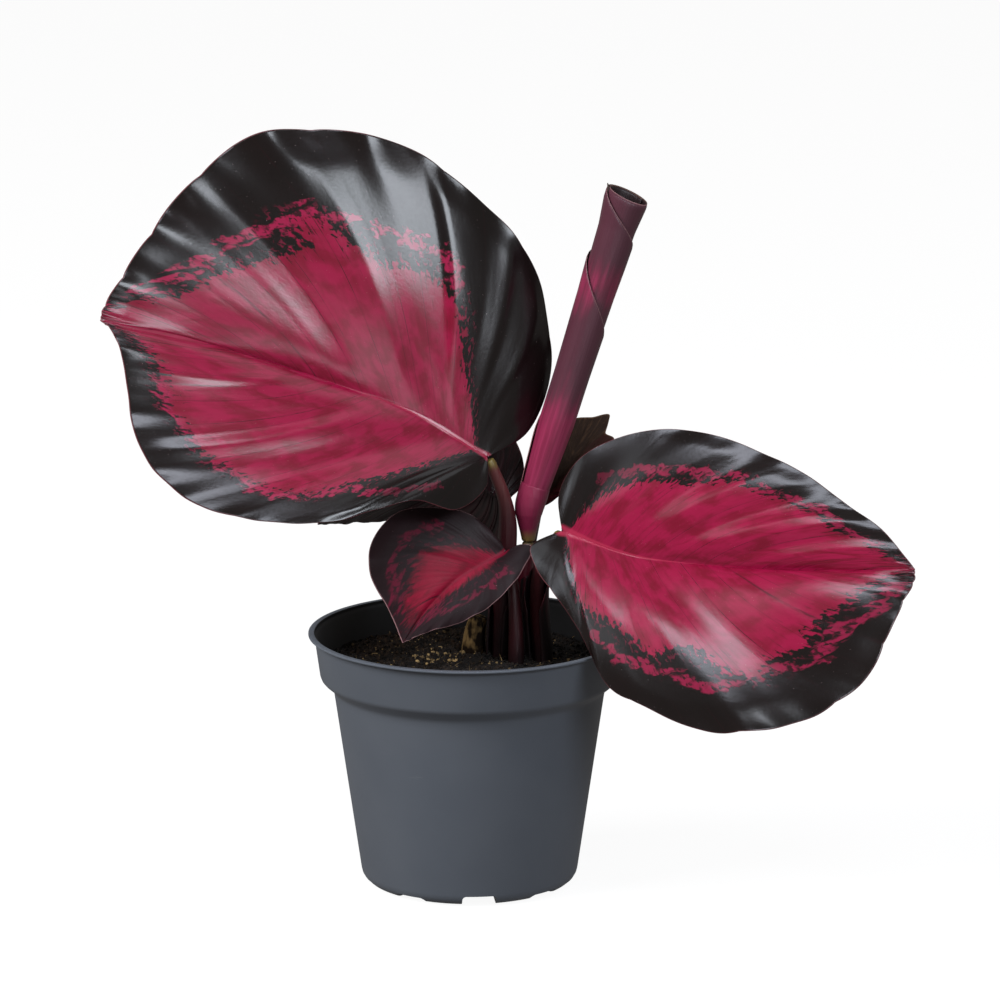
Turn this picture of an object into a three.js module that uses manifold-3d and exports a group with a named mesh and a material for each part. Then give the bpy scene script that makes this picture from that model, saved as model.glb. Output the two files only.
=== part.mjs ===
// A potted calathea: five leaves and one still rolled, on stalks that stand in the soil of a
// plastic nursery pot. Millimetres, +Z up, origin at the middle of the pot's underside.
// The front, -Y, is the side on which the small heart-shaped leaf hangs over the rim.

import * as THREE from 'three';
import { mergeVertices } from 'three/addons/utils/BufferGeometryUtils.js';
import Module from 'manifold-3d';

const wasm = await Module();
wasm.setup();

// ---------------------------------------------------------------- driving dimensions

// Clearance between two pieces that meet.
const GAP = 0.3;

const POT = {
  height: 95,
  lipRadius: 60,
  lipWall: 2.4,
  bandTopRadius: 57.7,
  bandFootRadius: 55.7,
  bodyTopRadius: 50.6,
  bodyFootRadius: 40.6,
  baseRadius: 36.6,
  wall: 1.2,
  facets: 48,
};

// The pot's outer face from the middle of the base up to the lip, as radius and height. The last
// two numbers say by how much of the wall's thickness the inner face lies inwards and upwards.
const POT_FACE = [
  [0, 0, 0, 1],
  [POT.baseRadius, 0, 0.6, 1],
  [POT.baseRadius + 2, 0.7, 1, 1],
  [POT.bodyFootRadius, 4.2, 1, 0.5],
  [POT.bodyTopRadius, 73, 1, 0.5],
  [POT.bodyTopRadius + 1, 74.8, 1, 0.7],
  [POT.bandFootRadius - 0.9, 77.5, 1, 0.7],
  [POT.bandFootRadius, 78.9, 1, 0],
  [POT.bandTopRadius, 93.2, 1, 0],
];

// The lip is a thin flat flange. Its outer face, as radius and as depth below the rim, and the
// depth at which its inside begins.
const LIP_FACE = [[POT.bandTopRadius + 0.4, 1.2], [POT.lipRadius, 0.8], [POT.lipRadius, 0.2]];
const LIP_ROUND = 0.2;
const MOUTH_DEPTH = 1.2;

// Drainage channels run out under the base like spokes. Every third one is tall.
const CHANNEL = {
  count: 9,
  width: 12.7,
  heights: [4, 2, 2],
  innerRadius: 14,
  firstAngle: -84.4,
};

// A hole through the roof of each channel, at this distance from the pot's axis.
const DRAIN = { radius: 4, place: 30, depth: 4, sides: 10 };

const SOIL = {
  edgeHeight: 82.5,
  moundHeight: 2,
  lumpHeight: 0.9,
  rings: 6,
  facets: 36,
  holeSides: 16,
  holeSlack: 0.1,
};

const STALK_SIDES = 9;

// A blade is drawn by three curves that start where the stalk joins it and end at its tip: the
// midrib and the two margins, named as seen from above with the tip pointing away.
const LEFT_LEAF = {
  midrib: [
    [6.5, 0, 161.5], [-19.5, -2, 178], [-47.5, -3, 189], [-76, -5, 199.5], [-105.5, -10, 209.5],
    [-134.5, -16, 216],
  ],
  right: [
    [6.5, 0, 161.5], [21.5, 10, 168.5], [29.5, 19, 184.5], [30, 24, 203], [25.5, 27, 224.5],
    [15.5, 27, 242], [0.5, 25, 256.5], [-17, 23, 271], [-37.5, 22, 278.5], [-58.5, 20, 281.5],
    [-79.5, 15, 279.5], [-98, 9, 267.5], [-112, 2, 252.5], [-123.5, -6, 236.5], [-133, -13, 221.5],
    [-134.5, -16, 216],
  ],
  left: [
    [6.5, 0, 161.5], [6, -8, 151.5], [-5, -18, 145.5], [-19, -26, 151], [-32, -33, 149.5],
    [-45.5, -40, 147], [-60, -45, 146.5], [-74.5, -48, 148.5], [-89, -48, 151], [-103, -45, 156.5],
    [-114.5, -40, 166], [-121.5, -34, 178], [-124, -27, 190.5], [-126.5, -22, 204.5],
    [-130.5, -18, 213], [-134.5, -16, 216],
  ],
  bulge: [3, 4],
  pleats: { count: 7, depth: 1.6 },
  ripple: 1.4,
  rows: 36,
  thickness: 0.8,
  colour: 0x8f1f45,
  roughness: 0.4,
};

const RIGHT_LEAF = {
  midrib: [
    [34.5, -14, 136.5], [59, -20, 129], [85, -25, 126.5], [111, -31, 126], [136.5, -37, 127],
    [162.5, -42, 129],
  ],
  right: [
    [34.5, -14, 136.5], [23, -16, 131.5], [24.5, -21, 124.5], [30, -28, 117.5], [36.5, -35, 110.5],
    [43.5, -43, 99.5], [51, -53, 87.5], [65, -60, 81], [81.5, -66, 75.5], [98.5, -69, 74],
    [115.5, -67, 77], [132.5, -64, 83], [147, -59, 96.5], [156, -51, 114.5], [162, -44, 124],
    [162.5, -42, 129],
  ],
  left: [
    [34.5, -14, 136.5], [33.5, -7, 150], [42, -3, 162.5], [57.5, 0, 169.5], [75, 0, 172],
    [92.5, -4, 170], [108.5, -10, 165], [124, -17, 158.5], [138, -25, 149.5], [150.5, -33, 142],
    [159, -39, 133], [162.5, -42, 129],
  ],
  bulge: [4, 3],
  pleats: { count: 6, depth: 1.4 },
  ripple: 1.1,
  rows: 32,
  thickness: 0.8,
  colour: 0x962148,
  roughness: 0.4,
};

const SMALL_LEAF = {
  midrib: [
    [13.5, -6, 126.5], [4, -10, 122.5], [-6, -15, 117], [-16, -20, 107.5], [-24.5, -24, 96.5],
  ],
  right: [
    [13.5, -6, 126.5], [7.5, -5, 132.5], [0.5, -4, 140.5], [-12, -4, 143], [-26, -6, 142],
    [-35.5, -12, 133], [-36.5, -17, 121], [-29, -21, 107], [-24.5, -24, 96.5],
  ],
  left: [
    [13.5, -6, 126.5], [19, -6, 129.5], [23.5, -7, 128.5], [20, -12, 121.5], [11, -17, 111.5],
    [-1.5, -20, 104], [-15, -23, 100.5], [-24.5, -24, 96.5],
  ],
  bulge: [3, 2],
  pleats: { count: 5, depth: 0.5 },
  ripple: 0.6,
  rows: 16,
  thickness: 0.8,
  colour: 0x7a1b3a,
  roughness: 0.4,
};

const BACK_LEAF = {
  midrib: [[13.5, 13, 142], [0, 22, 147.5], [-18.5, 33, 146], [-38.5, 43, 137], [-58, 50, 124]],
  right: [
    [13.5, 13, 142], [14.5, 14, 132.5], [9, 20, 123], [-0.5, 28, 123], [-15, 42, 125.5],
    [-31, 53, 124.5], [-45.5, 54, 123.5], [-58, 50, 124],
  ],
  left: [
    [13.5, 13, 142], [19, 14.5, 146.5], [20.5, 14.5, 154], [17.5, 14, 164], [10.5, 15.5, 173],
    [-5.5, 21, 176.5], [-26, 30, 171], [-44.5, 39, 155.5], [-55, 46, 136.5], [-58, 50, 124],
  ],
  bulge: [3, 3],
  pleats: { count: 5, depth: 0.8 },
  ripple: 0.6,
  rows: 18,
  thickness: 0.8,
  colour: 0x6d1a36,
  roughness: 0.4,
};

// An old leaf whose top was cut straight across, so its margins turn a corner to the midrib.
const TRIMMED_LEAF = {
  midrib: [[25.5, 16, 138.5], [37, 21, 155], [46, 28, 170.5]],
  right: [
    [25.5, 16, 138.5], [30, 15.5, 140.5], [35, 15, 144.5], [45, 16, 151], [54, 22, 162.5],
    [51, 26, 165], [52.5, 30, 171], [46, 28, 170.5],
  ],
  left: [
    [25.5, 16, 138.5], [27, 17.5, 147], [31, 20, 159], [36, 25, 168.5], [40, 26.5, 170.5],
    [46, 28, 170.5],
  ],
  bulge: [1.5, 1.5],
  pleats: { count: 3, depth: 0.4 },
  ripple: 0.3,
  rows: 14,
  thickness: 0.8,
  colour: 0x4a3329,
  roughness: 0.6,
};

const LEAVES = {
  left_leaf: LEFT_LEAF,
  right_leaf: RIGHT_LEAF,
  small_leaf: SMALL_LEAF,
  back_leaf: BACK_LEAF,
  trimmed_leaf: TRIMMED_LEAF,
};

// The new leaf is rolled round a straight, leaning axis. Its outer margin winds down the tube,
// so the roll has more turns low down than at the top. Low down it closes to a solid foot.
const ROLL = {
  foot: [22.5, 5, 142],
  top: [58.7, 16, 257],
  cone: [[22, 5, 128.5], [22, 5, 136], [22.5, 5, 142], [24.8, 5.7, 149.4]],
  coneRadii: [2.4, 3.8, 5.3, 5.6],
  // Outer radius of the tube, by the height above its foot.
  widths: [
    [0, 5.4], [33, 7.3], [51, 7.4], [69, 7.8], [82, 8.1], [95, 8.7], [108, 9.1], [118, 10.3],
  ],
  sheetStart: 5,
  pitch: 0.93,
  firstTurn: -0.4,
  lastTurn: 3,
  thickness: 0.6,
  steps: 52,
  rows: 6,
  // Share of the tube's length by which the sheet ends short of the top, by the turns wound.
  drops: [[1, 0], [1.5, 0.14], [2, 0.22], [2.5, 0.43], [3, 0.8]],
  // How far the rim dips on its right and at its front.
  slant: { right: 1, front: 1.3 },
  colour: 0x6b2444,
  roughness: 0.45,
};

// Stalks from the soil up to their blades: points of the axis, with the radius at each.
const STALKS = {
  left_stalk: {
    path: [
      [11.5, 5, 76], [11.5, 5, 88], [12.5, 4.5, 105], [13.5, 4, 121], [14.3, 3.2, 135],
      [12.8, 2, 146], [7.4, 0.4, 160.2],
    ],
    radii: [3, 3, 3.7, 3.9, 3.4, 2.5, 2.1],
    blade: LEFT_LEAF,
    colour: 0x4a1a24,
    roughness: 0.5,
  },
  right_stalk: {
    path: [
      [26.5, -1, 76], [26.5, -1, 88], [25.5, -3, 102], [25.5, -6, 115], [27.5, -9, 125.5],
      [33.6, -13.2, 135.6],
    ],
    radii: [3, 3, 3, 2.7, 2.3, 1.9],
    blade: RIGHT_LEAF,
    colour: 0x5c1f2c,
    roughness: 0.5,
  },
  small_stalk: {
    path: [
      [17.5, -5.5, 76], [17.5, -5.5, 88], [17, -4.5, 104], [16, -3, 116], [14.2, -4.6, 125],
    ],
    radii: [3, 3, 2.4, 2, 1.6],
    blade: SMALL_LEAF,
    colour: 0x4f1b27,
    roughness: 0.5,
  },
  back_stalk: {
    path: [[13, 13.5, 76], [13, 13.5, 88], [13.5, 13, 105], [13.8, 12.5, 123], [13.6, 12.8, 140.4]],
    radii: [3, 3, 2.9, 2.4, 2.1],
    blade: BACK_LEAF,
    colour: 0x43171f,
    roughness: 0.5,
  },
  trimmed_stalk: {
    path: [[22, 12.5, 76], [22, 12.5, 88], [21.8, 13.5, 104], [22, 14.8, 120], [25.2, 16, 137.4]],
    radii: [3, 3, 2.9, 2.4, 2],
    blade: TRIMMED_LEAF,
    colour: 0x4a2a20,
    roughness: 0.6,
  },
  rolled_stalk: {
    path: [[19, 3.5, 76], [19, 3.5, 88], [19.8, 4, 104], [21.1, 4.6, 118], [22, 5, 128]],
    radii: [3, 3, 3.1, 2.8, 2.2],
    colour: 0x6a2136,
    roughness: 0.5,
  },
  crown_stub: {
    path: [[1.5, 9.5, 76], [1.5, 9.5, 86], [2.2, 9.3, 93], [3.6, 8.8, 98.5]],
    radii: [4.4, 4.4, 3.9, 3.2],
    colour: 0x6b4a2f,
    roughness: 0.9,
  },
};

// ---------------------------------------------------------------- solids from meshes

const toVector = ([x, y, z]) => new THREE.Vector3(x, y, z);

function smoothCurve(points) {
  return new THREE.CatmullRomCurve3(points.map(toVector), false, 'catmullrom', 0.5);
}

// A value read off a list of [place, value] pairs, with straight lines between them.
function readOff(pairs, place) {
  const found = pairs.findIndex(([start]) => start >= place);
  const next = found < 0 ? pairs.length - 1 : Math.max(1, found);
  const [[fromPlace, fromValue], [toPlace, toValue]] = [pairs[next - 1], pairs[next]];
  const share = THREE.MathUtils.clamp((place - fromPlace) / (toPlace - fromPlace), 0, 1);
  return THREE.MathUtils.lerp(fromValue, toValue, share);
}

function geometryFrom(positions, indices) {
  const geometry = new THREE.BufferGeometry();
  geometry.setAttribute('position', new THREE.Float32BufferAttribute(positions, 3));
  geometry.setIndex(indices);
  return geometry;
}

function toSolid(geometry) {
  const plain = geometry.clone();
  plain.deleteAttribute('normal');
  plain.deleteAttribute('uv');
  const welded = mergeVertices(plain);
  return new wasm.Manifold(new wasm.Mesh({
    numProp: 3,
    vertProperties: Float32Array.from(welded.attributes.position.array),
    triVerts: Uint32Array.from(welded.index.array),
  }));
}

function toGeometry(solid) {
  const mesh = solid.getMesh();
  const geometry = geometryFrom(mesh.vertProperties, Array.from(mesh.triVerts));
  geometry.computeVertexNormals();
  return geometry;
}

// A solid of revolution about Z. The profile holds [radius, height] pairs from the axis at the
// bottom, up the outside, to the axis at the top.
function turned(profile, facets) {
  const points = profile.map(([radius, height]) => new THREE.Vector2(radius, height));
  const geometry = new THREE.LatheGeometry(points, facets);
  geometry.rotateX(Math.PI / 2);
  return geometry;
}

function joinAll(solids) {
  return solids.reduce((whole, solid) => whole.add(solid));
}

// ---------------------------------------------------------------- pot

// The outline of the pot's outside, or of its inside once inset is the wall's thickness or more.
function wallProfile(inset) {
  const face = POT_FACE.map(([radius, height, inwards, upwards]) => [
    radius - inset * inwards,
    height + inset * upwards,
  ]);
  if (inset > 0) {
    const mouth = POT.lipRadius - POT.lipWall - (inset - POT.wall);
    const above = POT.height + 1;
    return [...face, [mouth, POT.height - MOUTH_DEPTH], [mouth, above], [0, above]];
  }
  const lip = LIP_FACE.map(([radius, depth]) => [radius, POT.height - depth]);
  return [...face, ...lip, [POT.lipRadius - LIP_ROUND, POT.height], [0, POT.height]];
}

// Calls make(height) for each drainage channel and turns what it gives to the channel's angle.
function roundTheBase(make) {
  return Array.from({ length: CHANNEL.count }, (_, index) => {
    const shape = make(CHANNEL.heights[index % CHANNEL.heights.length]);
    shape.rotateZ(THREE.MathUtils.degToRad(CHANNEL.firstAngle + (index * 360) / CHANNEL.count));
    return toSolid(shape);
  });
}

// Bars as wide and as high as the channels, and a margin more. They start below the base.
function channelBars(margin) {
  const start = CHANNEL.innerRadius - margin;
  const length = POT.bodyTopRadius - start;
  const below = 1;
  return roundTheBase((channelHeight) => {
    const height = below + channelHeight + margin;
    const bar = new THREE.BoxGeometry(length, CHANNEL.width + 2 * margin, height);
    return bar.translate(start + length / 2, 0, height / 2 - below);
  });
}

function drainHoles() {
  const { radius, depth, sides, place } = DRAIN;
  return roundTheBase((channelHeight) => {
    const hole = new THREE.CylinderGeometry(radius, radius, depth, sides);
    return hole.rotateX(Math.PI / 2).translate(place, 0, channelHeight);
  });
}

// What the pot can hold: its inside, less the ridges that roof the drainage channels.
function cavity(gap) {
  const inset = POT.wall + gap;
  const inside = toSolid(turned(wallProfile(inset), POT.facets));
  return inside.subtract(joinAll(channelBars(inset)));
}

function potGeometry() {
  const outside = toSolid(turned(wallProfile(0), POT.facets));
  const hollow = joinAll([cavity(0), ...channelBars(0), ...drainHoles()]);
  return toGeometry(outside.subtract(hollow));
}

// ---------------------------------------------------------------- soil

// Lumpy ground, as a height over the soil's edge: a low mound and three crossing waves.
function soilHeight(x, y) {
  const { moundHeight, lumpHeight } = SOIL;
  const radius = Math.hypot(x, y) / POT.bandFootRadius;
  const lumps = Math.sin(x * 0.31 + 1.3) * Math.cos(y * 0.27)
    + 0.6 * Math.sin(x * 0.62 - y * 0.45)
    + 0.4 * Math.cos(x * 0.9 + y * 0.8 + 2);
  return moundHeight * (1 - radius * radius) + lumpHeight * lumps;
}

// A block of soil with a lumpy top, wider than the pot.
function soilBlock() {
  const radius = POT.bandTopRadius;
  const outline = [[0, 0], [radius, 0]];
  for (let ring = SOIL.rings; ring >= 0; ring -= 1) {
    outline.push([(radius * ring) / SOIL.rings, SOIL.edgeHeight]);
  }
  const block = turned(outline, SOIL.facets);
  const place = block.attributes.position;
  for (let index = 0; index < place.count; index += 1) {
    if (place.getZ(index) > SOIL.edgeHeight / 2) {
      place.setZ(index, SOIL.edgeHeight + soilHeight(place.getX(index), place.getY(index)));
    }
  }
  return toSolid(block);
}

// A plain hole for a stalk, from just under its foot to above the soil.
function stalkHole({ path, radii }) {
  const [x, y, foot] = path[0];
  const radius = radii[0] + GAP + SOIL.holeSlack;
  const depth = POT.height - foot;
  const hole = new THREE.CylinderGeometry(radius, radius, depth, SOIL.holeSides);
  return toSolid(hole.rotateX(Math.PI / 2).translate(x, y, foot - GAP + depth / 2));
}

function soilGeometry() {
  const holes = joinAll(Object.values(STALKS).map(stalkHole));
  return toGeometry(soilBlock().intersect(cavity(GAP)).subtract(holes));
}

// ---------------------------------------------------------------- blades

// Reach across a blade, from the right margin at -1 over the midrib at 0 to the left one at 1.
const REACHES = [-1, -0.8, -0.55, -0.28, -0.05, 0, 0.05, 0.28, 0.55, 0.8, 1];
const RIB = { reach: 0.05, depth: 0.9 };

// Veins leave the midrib crowded together near the stalk and spread out along the margin. A
// vein's order, from 0 at the stalk to 1 at the tip, gives its place on both.
const placeOnMidrib = (order) => order ** 3;
const placeOnMargin = (order) => 1 - (1 - order) ** 1.5;
const VEIN_BOW = 0.35;

function veinPoint(midrib, margin, order, reach) {
  const root = midrib.getPoint(placeOnMidrib(order));
  const end = margin.getPoint(placeOnMargin(order));
  const chord = end.clone().sub(root);
  const length = chord.length();
  const back = midrib.getPoint(0).sub(midrib.getPoint(1)).normalize();
  if (length > 0) {
    chord.divideScalar(length);
    back.addScaledVector(chord, -back.dot(chord));
  }
  const bend = root.clone().lerp(end, 0.5).addScaledVector(back, VEIN_BOW * order * order * length);
  return new THREE.QuadraticBezierCurve3(root, bend, end).getPoint(reach);
}

// How far the blade stands off the plain sheet between its three curves.
function relief(leaf, order, side, reach) {
  const { pleats, ripple } = leaf;
  const along = Math.sin(Math.PI * order);
  const phase = side * 1.1;
  const arch = leaf.bulge[side] * 4 * reach * (1 - reach) * along;
  const pleat = pleats.depth * Math.sin(Math.PI * reach)
    * Math.cos(2 * Math.PI * pleats.count * order + phase);
  const wave = Math.sin(2 * Math.PI * pleats.count * 1.5 * order + phase)
    + 0.6 * Math.sin(2 * Math.PI * pleats.count * 2.6 * order + 2 * phase);
  return arch + along * (pleat + ripple * reach ** 3 * wave);
}

// A blade's points lie in rows across it. Its first and last row are one point each, the joint
// and the tip. Triangles and points are the same on both faces of the blade.
function bladeGrid(rows) {
  const columns = REACHES.length;
  const inner = rows - 1;
  const tip = 1 + inner * columns;
  const vertex = (row, column) => {
    if (row === 0) return 0;
    return row > inner ? tip : 1 + (row - 1) * columns + column;
  };

  const places = [{ order: 0, reach: 0 }];
  for (let row = 1; row <= inner; row += 1) {
    REACHES.forEach((reach) => places.push({ order: row / rows, reach }));
  }
  places.push({ order: 1, reach: 0 });

  const faces = [];
  for (let row = 0; row <= inner; row += 1) {
    for (let column = 0; column < columns - 1; column += 1) {
      const [near, far] = [vertex(row, column), vertex(row + 1, column)];
      const [nearNext, farNext] = [vertex(row, column + 1), vertex(row + 1, column + 1)];
      faces.push([near, far, row < inner ? farNext : nearNext]);
      if (row > 0 && row < inner) faces.push([near, farNext, nearNext]);
    }
  }

  const edge = [0];
  for (let row = 1; row <= inner; row += 1) edge.push(vertex(row, 0));
  edge.push(tip);
  for (let row = inner; row >= 1; row -= 1) edge.push(vertex(row, columns - 1));
  return { places, faces, edge };
}

// Moves each point of a sheet along the sheet's normal there, by distance(index).
function offsetSheet(points, faces, distance) {
  const sheet = geometryFrom(points.flatMap((point) => point.toArray()), faces.flat());
  sheet.computeVertexNormals();
  const facing = new THREE.Vector3();
  return points.map((point, index) => {
    facing.fromBufferAttribute(sheet.attributes.normal, index);
    return point.clone().addScaledVector(facing, distance(index));
  });
}

function leafGeometry(leaf, grow = 0) {
  const midrib = smoothCurve(leaf.midrib);
  const margins = [smoothCurve(leaf.right), smoothCurve(leaf.left)];
  const { places, faces, edge } = bladeGrid(leaf.rows);
  const side = (reach) => (reach < 0 ? 0 : 1);
  const plain = places.map(({ order, reach }) => (
    veinPoint(midrib, margins[side(reach)], order, Math.abs(reach))
  ));
  const middle = offsetSheet(plain, faces, (index) => {
    const { order, reach } = places[index];
    return relief(leaf, order, side(reach), Math.abs(reach));
  });

  const half = leaf.thickness / 2 + grow;
  const top = offsetSheet(middle, faces, () => half);
  const bottom = offsetSheet(middle, faces, (index) => {
    const { order, reach } = places[index];
    const onRib = Math.max(0, 1 - Math.abs(reach) / RIB.reach);
    return -half - RIB.depth * onRib * Math.sin(Math.PI * order);
  });

  const under = places.length;
  const wall = edge.flatMap((start, index) => {
    const end = edge[(index + 1) % edge.length];
    return [start, under + start, under + end, start, under + end, end];
  });
  const below = faces.flatMap(([a, b, c]) => [under + a, under + c, under + b]);
  const positions = [...top, ...bottom].flatMap((point) => point.toArray());
  return geometryFrom(positions, [...faces.flat(), ...below, ...wall]);
}

// ---------------------------------------------------------------- stalks

// A round rod of changing radius along a smooth line, closed at both ends.
function rodGeometry({ path, radii }) {
  const axis = smoothCurve(path);
  const rings = (path.length - 1) * 2;
  const widths = radii.map((radius, index) => [index / (radii.length - 1), radius]);
  const positions = [...path[0]];
  for (let ring = 0; ring <= rings; ring += 1) {
    const share = ring / rings;
    const centre = axis.getPoint(share);
    const along = axis.getTangent(share);
    const aside = new THREE.Vector3(0, 1, 0).cross(along).normalize();
    const front = along.clone().cross(aside);
    const radius = readOff(widths, share);
    for (let side = 0; side < STALK_SIDES; side += 1) {
      const angle = (side / STALK_SIDES) * 2 * Math.PI;
      const point = centre.clone()
        .addScaledVector(aside, radius * Math.cos(angle))
        .addScaledVector(front, radius * Math.sin(angle));
      positions.push(...point.toArray());
    }
  }
  positions.push(...path[path.length - 1]);

  const last = 1 + (rings + 1) * STALK_SIDES;
  const vertex = (ring, side) => 1 + ring * STALK_SIDES + (side % STALK_SIDES);
  const indices = [];
  for (let side = 0; side < STALK_SIDES; side += 1) {
    indices.push(0, vertex(0, side + 1), vertex(0, side));
    indices.push(last, vertex(rings, side), vertex(rings, side + 1));
    for (let ring = 0; ring < rings; ring += 1) {
      indices.push(vertex(ring, side), vertex(ring, side + 1), vertex(ring + 1, side + 1));
      indices.push(vertex(ring, side), vertex(ring + 1, side + 1), vertex(ring + 1, side));
    }
  }
  return geometryFrom(positions, indices);
}

// A stalk that carries a blade stops short of it.
function stalkGeometry(stalk) {
  const rod = rodGeometry(stalk);
  if (!stalk.blade) return rod;
  const blade = toSolid(leafGeometry(stalk.blade, GAP));
  return toGeometry(toSolid(rod).subtract(blade));
}

// ---------------------------------------------------------------- rolled leaf

function rollFrame() {
  const foot = toVector(ROLL.foot);
  const along = toVector(ROLL.top).sub(foot);
  const length = along.length();
  along.normalize();
  const front = new THREE.Vector3(0, -1, 0).addScaledVector(along, along.y).normalize();
  const right = along.clone().cross(front);
  return { foot, along, front, right, length };
}

// A point of the sheet on its inner (-1) or outer (1) face. Turns are counted from the left.
function rollPoint(frame, turn, share, face) {
  const { foot, along, front, right, length } = frame;
  const angle = (turn + 0.5) * 2 * Math.PI;
  const dip = ROLL.slant.right * Math.cos(angle) - ROLL.slant.front * Math.sin(angle);
  const top = length * (1 - readOff(ROLL.drops, turn)) - dip;
  const height = THREE.MathUtils.lerp(ROLL.sheetStart, top, share);
  const outer = readOff(ROLL.widths, height);
  const radius = outer - ROLL.pitch * (ROLL.lastTurn - turn) + ((face - 1) * ROLL.thickness) / 2;
  return foot.clone().addScaledVector(along, height)
    .addScaledVector(right, radius * Math.cos(angle))
    .addScaledVector(front, -radius * Math.sin(angle));
}

function rolledSheet() {
  const { steps, rows, firstTurn, lastTurn } = ROLL;
  const frame = rollFrame();
  const positions = [];
  [-1, 1].forEach((face) => {
    for (let step = 0; step <= steps; step += 1) {
      const turn = THREE.MathUtils.lerp(firstTurn, lastTurn, step / steps);
      for (let row = 0; row <= rows; row += 1) {
        positions.push(...rollPoint(frame, turn, row / rows, face).toArray());
      }
    }
  });
  const inner = (step, row) => step * (rows + 1) + row;
  const outer = (step, row) => (steps + 1) * (rows + 1) + inner(step, row);
  const indices = [];
  const quad = (a, b, c, d) => indices.push(a, b, c, a, c, d);
  for (let step = 0; step < steps; step += 1) {
    const next = step + 1;
    for (let row = 0; row < rows; row += 1) {
      quad(inner(step, row), inner(step, row + 1), inner(next, row + 1), inner(next, row));
      quad(outer(step, row), outer(next, row), outer(next, row + 1), outer(step, row + 1));
    }
    quad(inner(step, 0), inner(next, 0), outer(next, 0), outer(step, 0));
    quad(inner(step, rows), outer(step, rows), outer(next, rows), inner(next, rows));
  }
  for (let row = 0; row < rows; row += 1) {
    quad(inner(0, row), outer(0, row), outer(0, row + 1), inner(0, row + 1));
    quad(inner(steps, row), inner(steps, row + 1), outer(steps, row + 1), outer(steps, row));
  }
  return geometryFrom(positions, indices);
}

function rolledGeometry() {
  const foot = rodGeometry({ path: ROLL.cone, radii: ROLL.coneRadii });
  return toGeometry(toSolid(rolledSheet()).add(toSolid(foot)));
}

// ---------------------------------------------------------------- the whole plant

const group = new THREE.Group();

function addPart(name, geometry, colour, roughness) {
  const material = new THREE.MeshStandardMaterial({ color: colour, roughness, metalness: 0 });
  const mesh = new THREE.Mesh(geometry, material);
  mesh.name = name;
  group.add(mesh);
}

addPart('pot', potGeometry(), 0x4f5661, 0.55);
addPart('soil', soilGeometry(), 0x1f1712, 1);
Object.entries(LEAVES).forEach(([name, leaf]) => {
  addPart(name, leafGeometry(leaf), leaf.colour, leaf.roughness);
});
addPart('rolled_leaf', rolledGeometry(), ROLL.colour, ROLL.roughness);
Object.entries(STALKS).forEach(([name, stalk]) => {
  addPart(name, stalkGeometry(stalk), stalk.colour, stalk.roughness);
});

export default group;
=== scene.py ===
"""The looks of a potted calathea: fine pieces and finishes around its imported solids.

The leaves, their stalks, the pot and the soil are made here in full detail. Sizes in the classes
are millimetres in the solids' own frame, and meshes are made in metres.
"""

import logging
import math
from collections.abc import Iterator
from dataclasses import dataclass
from enum import IntEnum
from functools import cache

import bmesh
import bpy
import numpy as np
from mathutils import Matrix, Vector


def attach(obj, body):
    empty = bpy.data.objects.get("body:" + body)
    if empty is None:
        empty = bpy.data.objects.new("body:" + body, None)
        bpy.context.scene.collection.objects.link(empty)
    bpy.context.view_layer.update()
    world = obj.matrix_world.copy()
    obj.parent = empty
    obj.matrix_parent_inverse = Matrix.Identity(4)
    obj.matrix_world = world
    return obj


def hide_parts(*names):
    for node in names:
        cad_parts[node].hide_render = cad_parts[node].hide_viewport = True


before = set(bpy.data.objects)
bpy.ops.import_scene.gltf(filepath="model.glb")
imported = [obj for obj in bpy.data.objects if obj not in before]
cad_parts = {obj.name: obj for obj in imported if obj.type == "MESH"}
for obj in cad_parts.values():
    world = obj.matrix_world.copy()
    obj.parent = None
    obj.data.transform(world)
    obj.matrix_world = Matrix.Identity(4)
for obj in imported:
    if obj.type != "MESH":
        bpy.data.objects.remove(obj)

MM = 0.001
FAR = 99.0
POINT_NUMBER = {"data_type": "FLOAT", "domain": "POINT"}

Points = tuple[tuple[float, float, float], ...]
Pairs = tuple[tuple[float, float], ...]
Colour = tuple[float, float, float]

log = logging.getLogger("calathea")


# ------------------------------------------------------------------ shared geometry


def tone(red: int, green: int, blue: int) -> Colour:
    """Turn a colour as a screen shows it into a linear one.

    Args:
        red, green, blue: Channels from 0 to 255.

    Returns:
        The colour in linear light, each channel from 0 to 1.
    """
    channels = [channel / 255 for channel in (red, green, blue)]
    return tuple(value / 12.92 if value <= 0.04045 else ((value + 0.055) / 1.055) ** 2.4
                 for value in channels)


def smooth_line(points: Points, places: np.ndarray) -> np.ndarray:
    """Read points off a smooth line.

    Args:
        points: The points that the line passes through, evenly spaced in place.
        places: Where to read it, from 0 at the first point to 1 at the last.

    Returns:
        One point for each place, with the shape of places and an axis more.
    """
    line = np.asarray(points, float)
    spans = len(line) - 1
    padded = np.vstack([2 * line[0] - line[1], line, 2 * line[-1] - line[-2]])
    place = np.clip(places, 0, 1) * spans
    start = np.minimum(place.astype(int), spans - 1)
    share = (place - start)[..., None]
    a, b, c, d = (padded[start + step] for step in range(4))
    straight = 2 * b + (c - a) * share
    bent = (2 * a - 5 * b + 4 * c - d) * share**2 + (3 * b - a - 3 * c + d) * share**3
    return (straight + bent) / 2


def read_off(pairs: Pairs, places: np.ndarray) -> np.ndarray:
    """Read values off (place, value) pairs, with straight lines between them."""
    table = np.asarray(pairs, float)
    return np.interp(places, table[:, 0], table[:, 1])


def softened(pairs: Pairs, places: np.ndarray, blur: float = 0.004) -> np.ndarray:
    """Read values off (place, value) pairs whose corners are rounded over a blur's width."""
    fine = np.linspace(-0.05, 1.05, 1101)
    spread = np.exp(-(((fine - 0.5) / blur) ** 2) / 2)
    values = np.convolve(read_off(pairs, fine), spread / spread.sum(), mode="same")
    return np.interp(places, fine, values)


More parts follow.
